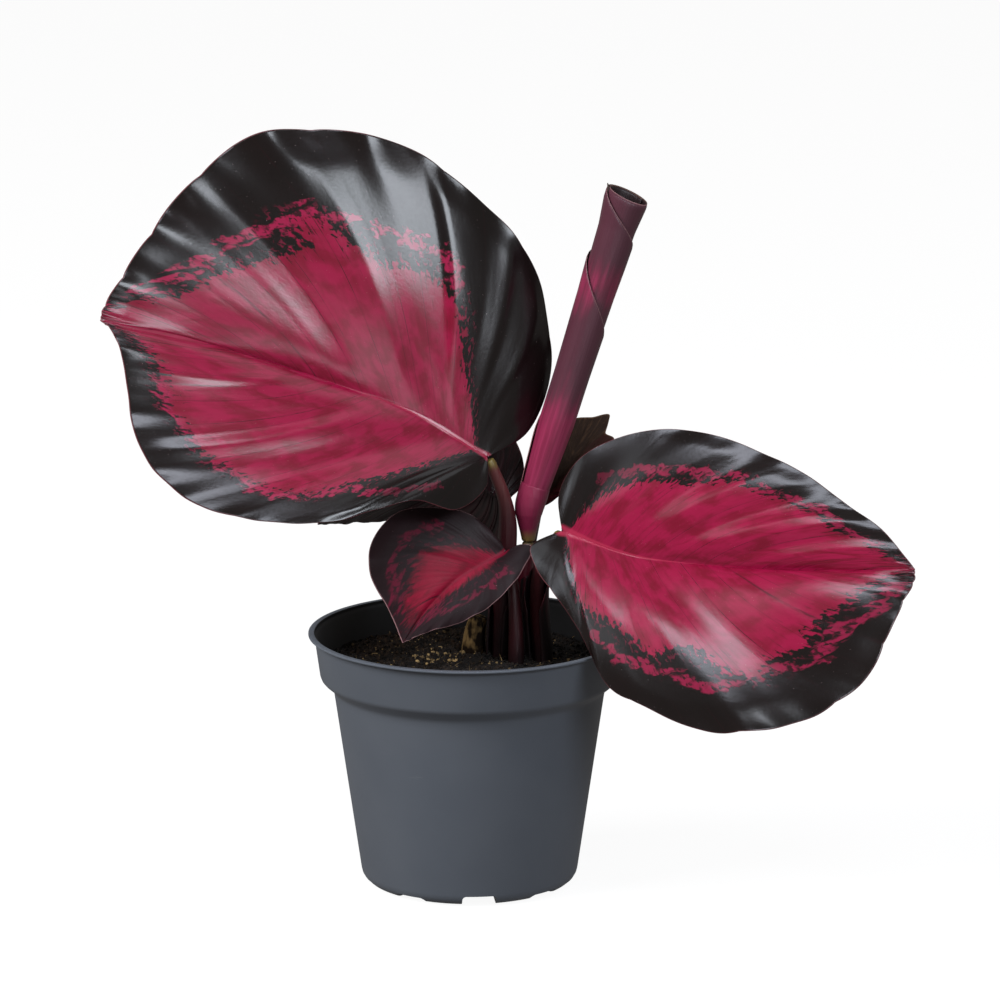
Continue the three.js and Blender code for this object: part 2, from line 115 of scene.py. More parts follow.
def smoothstep(values: np.ndarray, low: float, high: float) -> np.ndarray:
    """Rise smoothly from 0 at low to 1 at high."""
    share = np.clip((values - low) / (high - low), 0, 1)
    return share * share * (3 - 2 * share)


def grid_normals(points: np.ndarray) -> np.ndarray:
    """Find the unit normal at each point of a grid, where rows cross columns turn.

    Args:
        points: A grid of points, rows by columns by 3. A row may be a single point repeated.

    Returns:
        Unit normals of the same shape. A row without width takes its neighbour's mean.
    """
    normals = np.cross(np.gradient(points, axis=0), np.gradient(points, axis=1))
    lengths = np.linalg.norm(normals, axis=-1, keepdims=True)
    normals = normals / np.maximum(lengths, 1e-12)
    for row, beside in ((0, 1), (-1, -2)):
        if lengths[row].max() < 1e-6:
            normals[row] = normals[beside].mean(axis=0)
    return normals / np.maximum(np.linalg.norm(normals, axis=-1, keepdims=True), 1e-12)


def distance_to_line(places: np.ndarray, line: np.ndarray) -> np.ndarray:
    """Measure how far flat points lie from a line of straight stretches.

    Args:
        places: Points, with two numbers on the last axis.
        line: The line's points, n by 2.

    Returns:
        The distance of each point, without the last axis.
    """
    nearest = np.full(places.shape[:-1], np.inf)
    for start, end in zip(line[:-1], line[1:]):
        span = end - start
        share = np.clip(((places - start) @ span) / max(span @ span, 1e-9), 0, 1)
        gap = np.linalg.norm(places - start - share[..., None] * span, axis=-1)
        nearest = np.minimum(nearest, gap)
    return nearest


def add_object(name: str, data: bpy.types.ID) -> bpy.types.Object:
    """Put an object with a mesh, curve, light or camera in the scene."""
    made = bpy.data.objects.new(name, data)
    bpy.context.scene.collection.objects.link(made)
    return made


def new_piece(name: str, points: np.ndarray, faces: list[tuple[int, ...]]) -> bpy.types.Object:
    """Make an object from points in millimetres, in the frame's own place.

    Args:
        name: The piece's name.
        points: Vertices in millimetres, n by 3.
        faces: Vertex numbers of each face.

    Returns:
        The linked object, shaded smooth.
    """
    mesh = bpy.data.meshes.new(name)
    mesh.from_pydata((points * MM).tolist(), [], faces)
    mesh.shade_smooth()
    return add_object(name, mesh)


def set_attribute(piece: bpy.types.Object, name: str, values: np.ndarray) -> None:
    """Store one number or one vector for each vertex of a piece."""
    vector = values.ndim == 2
    kind = "FLOAT_VECTOR" if vector else "FLOAT"
    layer = piece.data.attributes.new(name, kind, "POINT")
    layer.data.foreach_set("vector" if vector else "value", values.astype(np.float32).ravel())


def weld(piece: bpy.types.Object, sharp_degrees: float | None = None) -> None:
    """Merge vertices that coincide and drop faces that lose their area by it.

    Args:
        piece: The object whose mesh is welded.
        sharp_degrees: Edges that turn more than this are shaded as sharp; None for none.
    """
    work = bmesh.new()
    work.from_mesh(piece.data)
    bmesh.ops.remove_doubles(work, verts=work.verts, dist=2e-7)
    bmesh.ops.dissolve_degenerate(work, edges=work.edges, dist=1e-8)
    work.to_mesh(piece.data)
    work.free()
    piece.data.shade_smooth()
    if sharp_degrees is not None:
        piece.data.set_sharp_from_angle(angle=math.radians(sharp_degrees))


def rounded_edge(margin: np.ndarray, half: float) -> np.ndarray:
    """Round a sheet's outline.

    Args:
        margin: Grid of distances from the outline, in millimetres.
        half: Half the sheet's thickness.

    Returns:
        The share of the thickness at each point: 0 on the outline and 1 further in than half.
    """
    edge = np.sqrt(1 - (1 - np.clip(margin / half, 0, 1)) ** 2)
    edge[[0, -1]] = 0
    edge[:, [0, -1]] = 0
    return edge


def thin_sheet(
    name: str,
    middle: np.ndarray,
    above: np.ndarray,
    below: np.ndarray,
    values: dict[str, np.ndarray],
) -> bpy.types.Object:
    """Make a closed sheet whose two faces meet along its outline.

    Args:
        name: The piece's name.
        middle: Grid of points of the sheet's middle, in millimetres.
        above, below: How far the two faces stand off the middle. Both are 0 on the outline.
        values: Grids of numbers or vectors to store on the vertices, by attribute name.

    Returns:
        The object. Its upper faces have material 0 and its lower ones material 1.
    """
    rows, columns = middle.shape[:2]
    normals = grid_normals(middle)
    top = middle + normals * above[..., None]
    bottom = middle - normals * below[..., None]
    upper = np.arange(rows * columns).reshape(rows, columns)
    lower = upper.copy()
    lower[1:-1, 1:-1] = rows * columns + np.arange((rows - 2) * (columns - 2)).reshape(
        rows - 2, columns - 2
    )
    points = np.vstack([top.reshape(-1, 3), bottom[1:-1, 1:-1].reshape(-1, 3)])

    def quads(grid: np.ndarray, order: tuple[int, int, int, int]) -> list[tuple[int, ...]]:
        """List the faces of a grid of vertex numbers, turned by the order of their corners."""
        corners = (grid[:-1, :-1], grid[1:, :-1], grid[1:, 1:], grid[:-1, 1:])
        return np.stack([corners[place].ravel() for place in order], axis=1).tolist()

    faces = quads(upper, (0, 1, 2, 3)) + quads(lower, (3, 2, 1, 0))
    piece = new_piece(name, points, faces)
    for key, grid in values.items():
        inner = grid[1:-1, 1:-1]
        flat = (-1, grid.shape[-1]) if grid.ndim == 3 else (-1,)
        set_attribute(piece, key, np.concatenate([grid.reshape(flat), inner.reshape(flat)]))
    half = len(faces) // 2
    piece.data.polygons.foreach_set("material_index", [0] * half + [1] * half)
    weld(piece)
    return piece


# ------------------------------------------------------------------ node trees


class Wire:
    """A value that a node gives. Arithmetic on it adds the nodes that work the result out."""

    def __init__(self, sketch: "Sketch", socket: bpy.types.NodeSocket) -> None:
        """Hold a node's output and the sketch that it belongs to."""
        self.sketch = sketch
        self.socket = socket

    def __add__(self, other: "Value") -> "Wire":
        """Add a value."""
        return self.sketch.math("ADD", self, other)

    def __sub__(self, other: "Value") -> "Wire":
        """Take a value away."""
        return self.sketch.math("SUBTRACT", self, other)

    def __rsub__(self, other: float) -> "Wire":
        """Take this value away from a number."""
        return self.sketch.math("SUBTRACT", other, self)

    def __mul__(self, other: "Value") -> "Wire":
        """Multiply by a value."""
        return self.sketch.math("MULTIPLY", self, other)

    def __truediv__(self, other: "Value") -> "Wire":
        """Divide by a value."""
        return self.sketch.math("DIVIDE", self, other)

    def rise(self, low: float, high: float, start: float = 0.0, end: float = 1.0) -> "Wire":
        """Go smoothly from start to end as this value goes from low to high."""
        node = self.sketch.add("ShaderNodeMapRange", {"interpolation_type": "SMOOTHSTEP"})
        for socket, given in zip(node.inputs, (self, low, high, start, end)):
            self.sketch.feed(socket, given)
        return Wire(self.sketch, node.outputs[0])


# What an input of a node can be given, and the inputs of a surface's shader by name.
Value = Wire | bpy.types.NodeSocket | bpy.types.Node | float | tuple[float, ...]
Inputs = dict[str, Value]


class Sketch:
    """Adds nodes to a tree with few words."""

    def __init__(self, tree: bpy.types.NodeTree) -> None:
        """Start on a tree that may already hold nodes."""
        self.tree = tree

    def add(self, kind: str, options: dict | None = None, **inputs) -> bpy.types.Node:
        """Add a node.

        Args:
            kind: The node's type, such as ShaderNodeMath.
            options: Properties to set on the node.
            **inputs: Values for its inputs. An underscore in a name stands for a space.

        Returns:
            The new node.
        """
        node = self.tree.nodes.new(kind)
        for key, value in (options or {}).items():
            setattr(node, key, value)
        for key, value in inputs.items():
            self.feed(node.inputs[key.replace("_", " ")], value)
        return node

    def feed(self, socket: bpy.types.NodeSocket, value: Value) -> None:
        """Give a socket its value, by a link if the value is a wire, a socket or a node's first."""
        if isinstance(value, Wire):
            value = value.socket
        elif isinstance(value, bpy.types.Node):
            value = value.outputs[0]
        if isinstance(value, bpy.types.NodeSocket):
            self.tree.links.new(value, socket)
        elif socket.type == "RGBA" and len(value) == 3:
            socket.default_value = (*value, 1)
        else:
            socket.default_value = value

    def math(self, operation: str, *values: Value, clamp: bool = False) -> Wire:
        """Calculate with one to three values."""
        node = self.add("ShaderNodeMath", {"operation": operation, "use_clamp": clamp})
        for socket, value in zip(node.inputs, values):
            self.feed(socket, value)
        return Wire(self, node.outputs[0])

    def noise(self, place: Value, scale: Value, detail: float = 2.0, warp: float = 0.0) -> Wire:
        """Read soft noise, around 0.5.

        Args:
            place: Where to read it.
            scale: How fine it is, as one number or as one for each axis.
            detail: How many finer layers it has.
            warp: How far it is stirred.

        Returns:
            The noise at each place.
        """
        if isinstance(scale, tuple):
            stretch = self.add("ShaderNodeVectorMath", {"operation": "MULTIPLY"})
            self.feed(stretch.inputs[0], place)
            self.feed(stretch.inputs[1], scale)
            place, scale = stretch.outputs[0], 1.0
        node = self.add("ShaderNodeTexNoise", Vector=place, Scale=scale, Detail=detail,
                        Distortion=warp)
        return Wire(self, node.outputs["Fac"])

    def mix(self, share: Value, first: Value, second: Value) -> Wire:
        """Mix two colours by a share from 0 to 1."""
        node = self.add("ShaderNodeMix", {"data_type": "RGBA"})
        for place, value in ((0, share), (6, first), (7, second)):
            self.feed(node.inputs[place], value)
        return Wire(self, node.outputs[2])

    def stored(self, name: str, output: str = "Fac") -> Wire:
        """Read a number that the mesh stores, or with output Vector a vector."""
        return Wire(self, self.add("ShaderNodeAttribute", {"attribute_name": name}).outputs[output])

    def place(self) -> Wire:
        """Read the object's own coordinates."""
        return Wire(self, self.add("ShaderNodeTexCoord").outputs["Object"])

    def part(self, vector: Wire, axis: str) -> Wire:
        """Take one axis of a vector."""
        return Wire(self, self.add("ShaderNodeSeparateXYZ", Vector=vector).outputs[axis])

    def bump(self, height: Wire, distance: float, strength: float = 1.0) -> Wire:
        """Turn a height from 0 to 1 into a relief of a depth in metres."""
        node = self.add("ShaderNodeBump", Height=height, Distance=distance, Strength=strength)
        return Wire(self, node.outputs[0])


@dataclass(frozen=True)
class Finish:
    """A surface finish. Each kind overrides paint, which draws it."""

    name: str

    def paint(self, sketch: Sketch) -> Inputs:
        """Draw the finish.

        Args:
            sketch: The material's tree.

        Returns:
            Values for the inputs of the surface's shader, by name.
        """
        raise NotImplementedError

    def material(self) -> bpy.types.Material:
        """Return the finish's material, made at its first use."""
        known = bpy.data.materials.get(self.name)
        if known:
            return known
        material = bpy.data.materials.new(self.name)
        material.use_nodes = True
        sketch = Sketch(material.node_tree)
        surface = material.node_tree.nodes["Principled BSDF"]
        for key, value in self.paint(sketch).items():
            sketch.feed(surface.inputs[key], value)
        return material


def dress(piece: bpy.types.Object, *finishes: Finish) -> None:
    """Give a piece that has none its finishes, in the order of its material numbers."""
    for finish in finishes:
        piece.data.materials.append(finish.material())


# ------------------------------------------------------------------ finishes


@dataclass(frozen=True)
class BladeTop(Finish):
    """Upper face of a leaf: a dark border, a crimson middle with ragged streaks, a feather line."""

    dark: Colour = tone(10, 7, 6)
    dusk: Colour = tone(21, 12, 12)
    crimson: Colour = tone(136, 14, 54)
    deep: Colour = tone(110, 9, 36)
    feather: Colour = tone(138, 22, 60)
    midrib: Colour = tone(154, 36, 64)
    rim: Colour = tone(112, 58, 64)
    groove: Colour = tone(52, 12, 22)
    speck: Colour = tone(180, 160, 160)
    ragged: float = 11.0
    soft: float = 0.8
    slits: float = 0.7
    ring_width: float = 15.0
    rib_width: float = 1.3
    roughness: float = 0.2
    gloss: float = 0.5

    def paint(self, sketch: Sketch) -> Inputs:
        """Draw the leaf's upper face by its own vein coordinates."""
        veins = sketch.stored("veins", "Vector")
        order = sketch.part(veins, "Z")
        blush = sketch.stored("blush")
        dapple = sketch.noise(veins, (0.85, 0.34, 0), 4.0, 0.4)
        streaks = sketch.noise(veins, (0.75, 0.07, 0), 3.0)
        clouds = sketch.noise(veins, (0.16, 0.09, 0), 3.0, 0.6)
        tint = (streaks * 0.25 + clouds * 0.75).rise(0.36, 0.62)
        red = sketch.mix(tint, self.deep, self.crimson)
        colour = sketch.mix(sketch.noise(veins, 0.06, 2.0), self.dark, self.dusk)
        ring = self.feather_line(sketch, veins, order, blush, dapple)
        colour = sketch.mix(ring, colour, self.feather)
        inside = self.torn_middle(sketch, veins, blush, dapple, streaks)
        colour = sketch.mix(inside, colour, red)

        line = sketch.math("PINGPONG", sketch.stored("vein"), 0.5).rise(0.012, 0.036, 1.0, 0.0)
        line = line * streaks.rise(0.42, 0.58, 0.3, 0.9) * blush.rise(-7.0, 0.0, 0.15, 1.0)
        colour = sketch.mix(line, colour, self.groove)
        from_rib = sketch.math("ABSOLUTE", sketch.part(veins, "Y"))
        from_rib = from_rib / ((1.0 - order) * self.rib_width + 0.35)
        colour = sketch.mix(from_rib.rise(0.7, 1.5, 0.8, 0.0), colour, self.midrib)
        colour = sketch.mix(sketch.stored("rim").rise(0.15, 0.5, 0.75, 0.0), colour, self.rim)
        specks = sketch.noise(veins, (2.2, 2.2, 0), 1.0)
        grain = sketch.noise(veins, (1.3, 0.7, 0), 3.0)
        return {
            "Base Color": sketch.mix(specks.rise(0.76, 0.82, 0.0, 0.45), colour, self.speck),
            "Roughness": sketch.noise(veins, 1.4, 3.0) * 0.08 + (self.roughness - 0.04),
            "Specular IOR Level": self.gloss,
            "Normal": sketch.bump(grain, 0.00004, 0.6),
        }

    def torn_middle(self, sketch: Sketch, veins: Wire, blush: Wire, dapple: Wire,
                    streaks: Wire) -> Wire:
        """Find the share of crimson: its middle with a torn edge, and dark slits near the edge."""
        torn = (dapple - 0.5) * (self.ragged * 1.3) + blush
        torn = (streaks - 0.5) * (self.ragged * 0.6) + torn
        scratches = sketch.noise(veins, (1.9, 0.09, 0), 3.0, 0.3)
        slits = scratches.rise(0.58, 0.68) * blush.rise(1.0, 13.0, 1.0, 0.0)
        inside = torn.rise(-self.soft, self.soft)
        return sketch.math("SUBTRACT", inside, slits * self.slits, clamp=True)

    def feather_line(self, sketch: Sketch, veins: Wire, order: Wire, blush: Wire,
                     dapple: Wire) -> Wire:
        """Find the share of red in the border: the broken feather line, and mottles inside it."""
        patches = sketch.noise(veins, (0.2, 0.22, 0), 3.0, 0.5)
        width = (patches - 0.36) * self.ring_width
        ring = (width - sketch.stored("feather")).rise(-0.9, 0.7)
        ring = ring * dapple.rise(0.38, 0.52, 0.1, 1.0) * order.rise(0.22, 0.34, 0.35, 1.0)
        mottle = dapple.rise(0.53, 0.62) * blush.rise(-8.0, -1.0)
        return sketch.math("MAXIMUM", ring, mottle * 0.55)


@dataclass(frozen=True)
class BladeUnder(Finish):
    """Lower face of a leaf: one satin maroon with its veins standing out."""

    colour: Colour = tone(74, 28, 42)
    shade: Colour = tone(48, 20, 28)
    rim: Colour = tone(120, 70, 76)

    def paint(self, sketch: Sketch) -> Inputs:
        """Draw the leaf's lower face by its own vein coordinates."""
        streaks = sketch.noise(sketch.stored("veins", "Vector"), (0.5, 0.06, 0), 3.0)
        colour = sketch.mix(streaks.rise(0.35, 0.65), self.shade, self.colour)
        ribs = sketch.math("PINGPONG", sketch.stored("vein"), 0.5).rise(0.0, 0.3, 1.0, 0.0)
        return {
            "Base Color": sketch.mix(sketch.stored("rim").rise(0.15, 0.5, 0.7, 0.0), colour,
                                     self.rim),
            "Roughness": 0.42,
            "Normal": sketch.bump(ribs, 0.0003, 0.8),
        }


@dataclass(frozen=True)
class OldBlade(Finish):
    """Either face of an old, browned leaf."""

    brown: Colour = tone(44, 30, 22)
    rust: Colour = tone(84, 24, 34)
    pale: Colour = tone(96, 70, 50)

    def paint(self, sketch: Sketch) -> Inputs:
        """Draw a dull brown with redder stretches low down and a dry rim."""
        veins = sketch.stored("veins", "Vector")
        streaks = sketch.noise(veins, (0.8, 0.12, 0), 4.0)
        low = (streaks * 0.6 + sketch.part(veins, "Z")).rise(0.45, 0.95, 1.0, 0.0)
        colour = sketch.mix(low, self.brown, self.rust)
        colour = sketch.mix(streaks.rise(0.5, 0.7, 0.0, 0.3), colour, self.pale)
        grain = sketch.noise(veins, (2.0, 0.4, 0), 3.0)
        return {
            "Base Color": sketch.mix(sketch.stored("rim").rise(0.2, 0.9, 0.8, 0.0), colour,
                                     self.pale),
            "Roughness": 0.7,
            "Specular IOR Level": 0.15,
            "Normal": sketch.bump(grain, 0.0004, 0.8),
        }


@dataclass(frozen=True)
class RollSkin(Finish):
    """A face of the rolled leaf: dusky purple, with magenta in its folds and low down."""

    dusk: Colour = tone(74, 38, 49)
    magenta: Colour = tone(112, 27, 56)
    rose: Colour = tone(134, 40, 72)
    rim: Colour = tone(150, 110, 112)

    def paint(self, sketch: Sketch) -> Inputs:
        """Draw the skin by its height up the roll and its distance from the sheet's margin."""
        skin = sketch.stored("skin", "Vector")
        streaks = sketch.noise(skin, (0.55, 0.03, 0), 3.0)
        blotch = sketch.noise(skin, 0.05, 2.0)
        share = sketch.stored("glow") + (blotch - 0.5) * 0.7 + (streaks - 0.5) * 0.5
        pink = sketch.mix(streaks.rise(0.35, 0.65), self.magenta, self.rose)
        colour = sketch.mix(share.rise(0.2, 0.8), self.dusk, pink)
        ribs = sketch.noise(skin, (1.2, 0.05, 0), 3.0)
        return {
            "Base Color": sketch.mix(sketch.stored("rim").rise(0.2, 0.55, 0.8, 0.0), colour,
                                     self.rim),
            "Roughness": 0.44,
            "Normal": sketch.bump(ribs, 0.0003, 0.7),
        }


@dataclass(frozen=True)
class StalkSkin(Finish):
    """A stalk: dark maroon, with a yellow-green joint under the blade."""

    foot: Colour = tone(22, 9, 11)
    body: Colour = tone(58, 16, 22)
    head: Colour = tone(88, 40, 40)
    joint: Colour = tone(104, 90, 44)
    foot_to: tuple[float, float] = (0.15, 0.5)

    def paint(self, sketch: Sketch) -> Inputs:
        """Draw the stalk by how far up it a point lies, from 0 to 1."""
        streaks = sketch.noise(sketch.place(), (900, 900, 60), 3.0)
        up = (streaks - 0.5) * 0.1 + sketch.stored("up")
        colour = sketch.mix(up.rise(*self.foot_to), self.foot, self.body)
        colour = sketch.mix(up.rise(0.7, 0.9), colour, self.head)
        return {
            "Base Color": sketch.mix(up.rise(0.95, 0.99), colour, self.joint),
            "Roughness": 0.42,
            "Normal": sketch.bump(streaks, 0.0004, 0.8),
        }


@dataclass(frozen=True)
class SheathSkin(Finish):
    """A sheath round the foot of a stalk: thin, dark red, brighter where it is thin."""

    body: Colour = tone(21, 8, 10)
    glow: Colour = tone(92, 17, 34)

    def paint(self, sketch: Sketch) -> Inputs:
        """Draw long streaks, with a brighter top."""
        streaks = sketch.noise(sketch.stored("skin", "Vector"), (0.9, 0.06, 0), 3.0)
        share = streaks.rise(0.4, 0.7) * sketch.stored("glow")
        return {
            "Base Color": sketch.mix(share, self.body, self.glow),
            "Roughness": 0.6,
            "Normal": sketch.bump(streaks, 0.0003, 0.8),
        }


@dataclass(frozen=True)
class DryStub(Finish):
    """The dry, khaki stub of an old shoot."""

    light: Colour = tone(98, 78, 50)
    dark: Colour = tone(22, 15, 10)

    def paint(self, sketch: Sketch) -> Inputs:
        """Draw peeling fibres along the stub."""
        place = sketch.place()
        fibres = sketch.noise(place, (420, 420, 90), 3.0)
        share = sketch.noise(place, 230.0, 2.0) * 0.5 + fibres * 0.5
        return {
            "Base Color": sketch.mix(share.rise(0.46, 0.58), self.dark, self.light),
            "Roughness": 0.9,
            "Specular IOR Level": 0.1,
            "Normal": sketch.bump(fibres, 0.0016, 1.0),
        }


@dataclass(frozen=True)
class PotPlastic(Finish):
    """Matt slate plastic with the faint marks of its mould and of handling."""

    colour: Colour = tone(79, 84, 92)
    worn: Colour = tone(104, 108, 114)
    roughness: float = 0.5

    def paint(self, sketch: Sketch) -> Inputs:
        """Draw a nearly even grey, fine grain and a few pale scuffs."""
        place = sketch.place()
        cloud = sketch.noise(place, 26.0, 3.0)
        scuffs = sketch.noise(place, (60, 60, 420), 4.0, 1.2)
        base = sketch.mix(cloud.rise(0.3, 0.7, 0.0, 0.16), self.colour, self.worn)
        return {
            "Base Color": sketch.mix(scuffs.rise(0.74, 0.80, 0.0, 0.5), base, self.worn),
            "Roughness": cloud * 0.14 + (self.roughness - 0.07),
            "Specular IOR Level": 0.45,
            "Normal": sketch.bump(sketch.noise(place, 2600.0, 2.0), 0.00006, 0.5),
        }


@dataclass(frozen=True)
class Peat(Finish):
    """Moist potting soil, or a crumb of it, whose tint attribute sets how pale it is. Its near-black
    tones are the peat's own dark colour, darkened further as painted shade.
    """

    # dark and light: the peat's own dark colour, made darker still as painted shade.
    dark: Colour = tone(13, 9, 7)
    light: Colour = tone(38, 28, 20)
    pale: Colour = tone(150, 124, 84)

    def paint(self, sketch: Sketch) -> Inputs:
        """Draw fine crumbs, paler where the tint is high."""
        crumbs = sketch.noise(sketch.place(), 700.0, 5.0)
        colour = sketch.mix(crumbs.rise(0.4, 0.7), self.dark, self.light)
        return {
            "Base Color": sketch.mix(sketch.stored("tint").rise(0.72, 1.0), colour, self.pale),
            "Roughness": 0.95,
            "Normal": sketch.bump(crumbs, 0.001, 1.0),
        }


@dataclass(frozen=True)
class Ground(Finish):
    """The plain pale floor of the studio."""

    def paint(self, sketch: Sketch) -> Inputs:
        """Set a plain white that glows a little, as a lit table top does."""
        return {
            "Base Color": (0.1, 0.1, 0.1),
            "Roughness": 0.9,
            "Emission Color": (1, 1, 1),
            "Emission Strength": 0.93,
            "Specular IOR Level": 0.0,
        }


PLASTIC = PotPlastic("slate_plastic")
# The inner wall's finish: the slate plastic made near-black, as painted shade.
SHADED_WALL_PLASTIC = PotPlastic("damp_plastic", tone(19, 19, 20), tone(26, 26, 27), 0.6)
LEAF_TOP = BladeTop("leaf_top")
# The right leaf's feather line is a darker red than the other leaves', as painted shade.
RIGHT_TOP = BladeTop("right_leaf_top", feather=tone(122, 19, 52), ring_width=12.0, rib_width=1.9,
                     roughness=0.21)
SMALL_TOP = BladeTop(
    "small_leaf_top", dark=tone(22, 15, 16), dusk=tone(44, 27, 31), crimson=tone(140, 8, 44),
    deep=tone(116, 7, 34), feather=tone(94, 20, 42), midrib=tone(128, 14, 44),
    rim=tone(168, 128, 130), ragged=5.0, soft=2.6, slits=0.2, ring_width=10.0, roughness=0.5,
    gloss=0.2,
)
BACK_TOP = BladeTop("back_leaf_top", crimson=tone(74, 12, 28), deep=tone(58, 9, 20),
                    feather=tone(56, 12, 24))
LEAF_UNDER = BladeUnder("leaf_under")
# The back leaf's lower face: a near-black copy of the leaf's lower face, as painted shade.
SHADED_BACK_UNDER = BladeUnder("back_leaf_under", tone(42, 13, 19), tone(19, 8, 10))
OLD_LEAF = OldBlade("old_blade")
ROLL_SKIN = RollSkin("roll_skin")
ROLL_INSIDE = RollSkin("roll_inside", tone(36, 22, 24), tone(50, 16, 26), tone(60, 20, 32),
                       tone(112, 84, 74))
STALK = StalkSkin("stalk_skin")
ROLL_STALK = StalkSkin("roll_stalk_skin", body=tone(112, 20, 42), head=tone(84, 22, 34),
                       joint=tone(90, 74, 40))
ROLL_FOOT = StalkSkin("roll_foot_skin", tone(122, 98, 56), tone(122, 32, 62), tone(122, 32, 62),
                      tone(122, 32, 62), (0.04, 0.26))
ROLL_TIP = StalkSkin("roll_tip_skin", tone(56, 44, 38), tone(56, 44, 38), tone(66, 52, 44),
                     tone(66, 52, 44))
SHEATH = SheathSkin("sheath_skin")
STUB = DryStub("stub_bark")
PEAT = Peat("peat")
GROUND = Ground("studio_ground")


class Side(IntEnum):
    """A half of a blade, seen from above with the tip pointing away."""

    RIGHT = 0
    LEFT = 1


# ------------------------------------------------------------------ leaves


@dataclass
class Blade:
    """An open leaf: three curves from the joint to the tip, its folds and its markings."""

    piece: str
    node: str
    midrib: Points
    right: Points
    left: Points
    bulge: tuple[float, float]
    pleats: tuple[float, float]
    ripple: tuple[float, float]
    breadth: float
    blush: tuple[Pairs, Pairs] = ((), ())
    feather: tuple[Pairs, Pairs] = ((), ())
    creases: tuple[Pairs, Pairs] = ((), ())
    finishes: tuple[Finish, Finish] = (LEAF_TOP, LEAF_UNDER)
    slot: str = "leaf"
    thickness: float = 0.5
    rows: int = 300
    columns: int = 46
    rib_spread: float = 1.1
    rib_rise: float = 0.18
    rib_depth: float = 1.0
    vein_count: int = 21
    vein_depth: float = 0.025
    vein_bow: float = 0.35
    vein_spread: tuple[float, float] = (0.43, 3.5)
    scallop_count: int = 11
    scallops: tuple[float, float] = (0.0, 0.0)

    def build(self) -> None:
        """Make the blade, store its vein coordinates and hand it over."""
        order, reach, side = self.grid()
        plain = self.plain_sheet(order, reach, side)
        middle = plain + grid_normals(plain) * self.relief(order, reach, side)[..., None]
        length = self.vein_lengths(plain)
        rim = (1 - reach) * length
        rim = np.minimum(rim, np.linalg.norm(middle - middle[-1:], axis=-1))
        half = self.thickness / 2
        edge = rounded_edge(rim, half)
        rib = np.exp(-((reach * length / self.rib_spread) ** 2)) * np.sin(np.pi * order) ** 0.5
        above = edge * (half + self.rib_rise * rib)
        below = edge * (half + self.rib_depth * rib)
        signed = np.where(side == Side.RIGHT, -1, 1)
        along = reach * length * signed
        values = {
            "veins": np.stack([self.vein(order, reach) * self.breadth, along, order], axis=-1),
            "vein": self.counted(self.vein(order, reach)),
            "rim": rim,
            "blush": self.marking(self.blush, order, reach, side, length, signed=True),
            "feather": self.marking(self.feather, order, reach, side, length, signed=False),
        }
        piece = thin_sheet(self.piece, middle, above, below, values)
        dress(piece, *self.finishes)
        hand_over(piece, self.slot, self.node)

    def grid(self) -> tuple[np.ndarray, np.ndarray, np.ndarray]:
        """Lay out rows across the blade and columns from margin to margin.

        Returns:
            Order from 0 at the joint to 1 at the tip, reach from 0 at the midrib to 1 at the
            margin, and side, each rows + 1 by 2 * columns + 1. Columns crowd at the midrib and
            at the margins.
        """
        even = np.linspace(0, 1, self.columns + 1)
        reach = even - 0.85 * np.sin(2 * np.pi * even) / (2 * np.pi)
        across = np.concatenate([-reach[::-1], reach[1:]])
        along = np.linspace(0, 1, self.rows + 1)
        order, across = np.meshgrid(along, across, indexing="ij")
        return order, np.abs(across), np.where(across > 0, Side.LEFT, Side.RIGHT)

    def plain_sheet(self, order: np.ndarray, reach: np.ndarray, side: np.ndarray) -> np.ndarray:
        """Span the sheet between the midrib and the margins, along bowed veins."""
        root = smooth_line(self.midrib, order**3)
        place = 1 - (1 - order) ** 1.5
        end = np.where((side == Side.RIGHT)[..., None], smooth_line(self.right, place),
                       smooth_line(self.left, place))
        chord = end - root
        length = np.linalg.norm(chord, axis=-1, keepdims=True)
        unit = chord / np.maximum(length, 1e-9)
        uneven = self.scallop_count * order + 0.6 * np.sin(7 * order)
        notch = 1 - np.abs(np.sin(np.pi * uneven)) ** 0.6
        deep = np.where(side == Side.RIGHT, *self.scallops) * notch * np.sin(np.pi * order)
        end = end - unit * deep[..., None]
        chord = end - root
        length = np.linalg.norm(chord, axis=-1, keepdims=True)
        back = np.asarray(self.midrib[0], float) - np.asarray(self.midrib[-1], float)
        back = back / np.linalg.norm(back)
        back = back - unit * (unit @ back)[..., None]
        bend = (root + end) / 2 + back * self.vein_bow * (order**2)[..., None] * length
        share = reach[..., None]
        return (1 - share) ** 2 * root + 2 * share * (1 - share) * bend + share**2 * end

    def vein_lengths(self, sheet: np.ndarray) -> np.ndarray:
        """Measure each vein from the midrib to its margin, on each side."""
        half = self.columns
        steps = np.linalg.norm(np.diff(sheet, axis=1), axis=-1)
        right = steps[:, :half].sum(axis=1, keepdims=True)
        left = steps[:, half:].sum(axis=1, keepdims=True)
        return np.hstack([np.repeat(right, half + 1, axis=1), np.repeat(left, half, axis=1)])

    def vein(self, order: np.ndarray, reach: np.ndarray) -> np.ndarray:
        """Number the lateral veins from 0 to 1. They leave the midrib further apart than orders do."""
        spread, fade = self.vein_spread
        return order ** (1 + spread * (1 - reach) ** fade)

    def counted(self, vein: np.ndarray) -> np.ndarray:
        """Count the lateral veins, which lie at uneven distances from each other."""
        return vein * self.vein_count + 0.32 * np.sin(vein * 97) + 0.25 * np.sin(vein * 41 + 1)

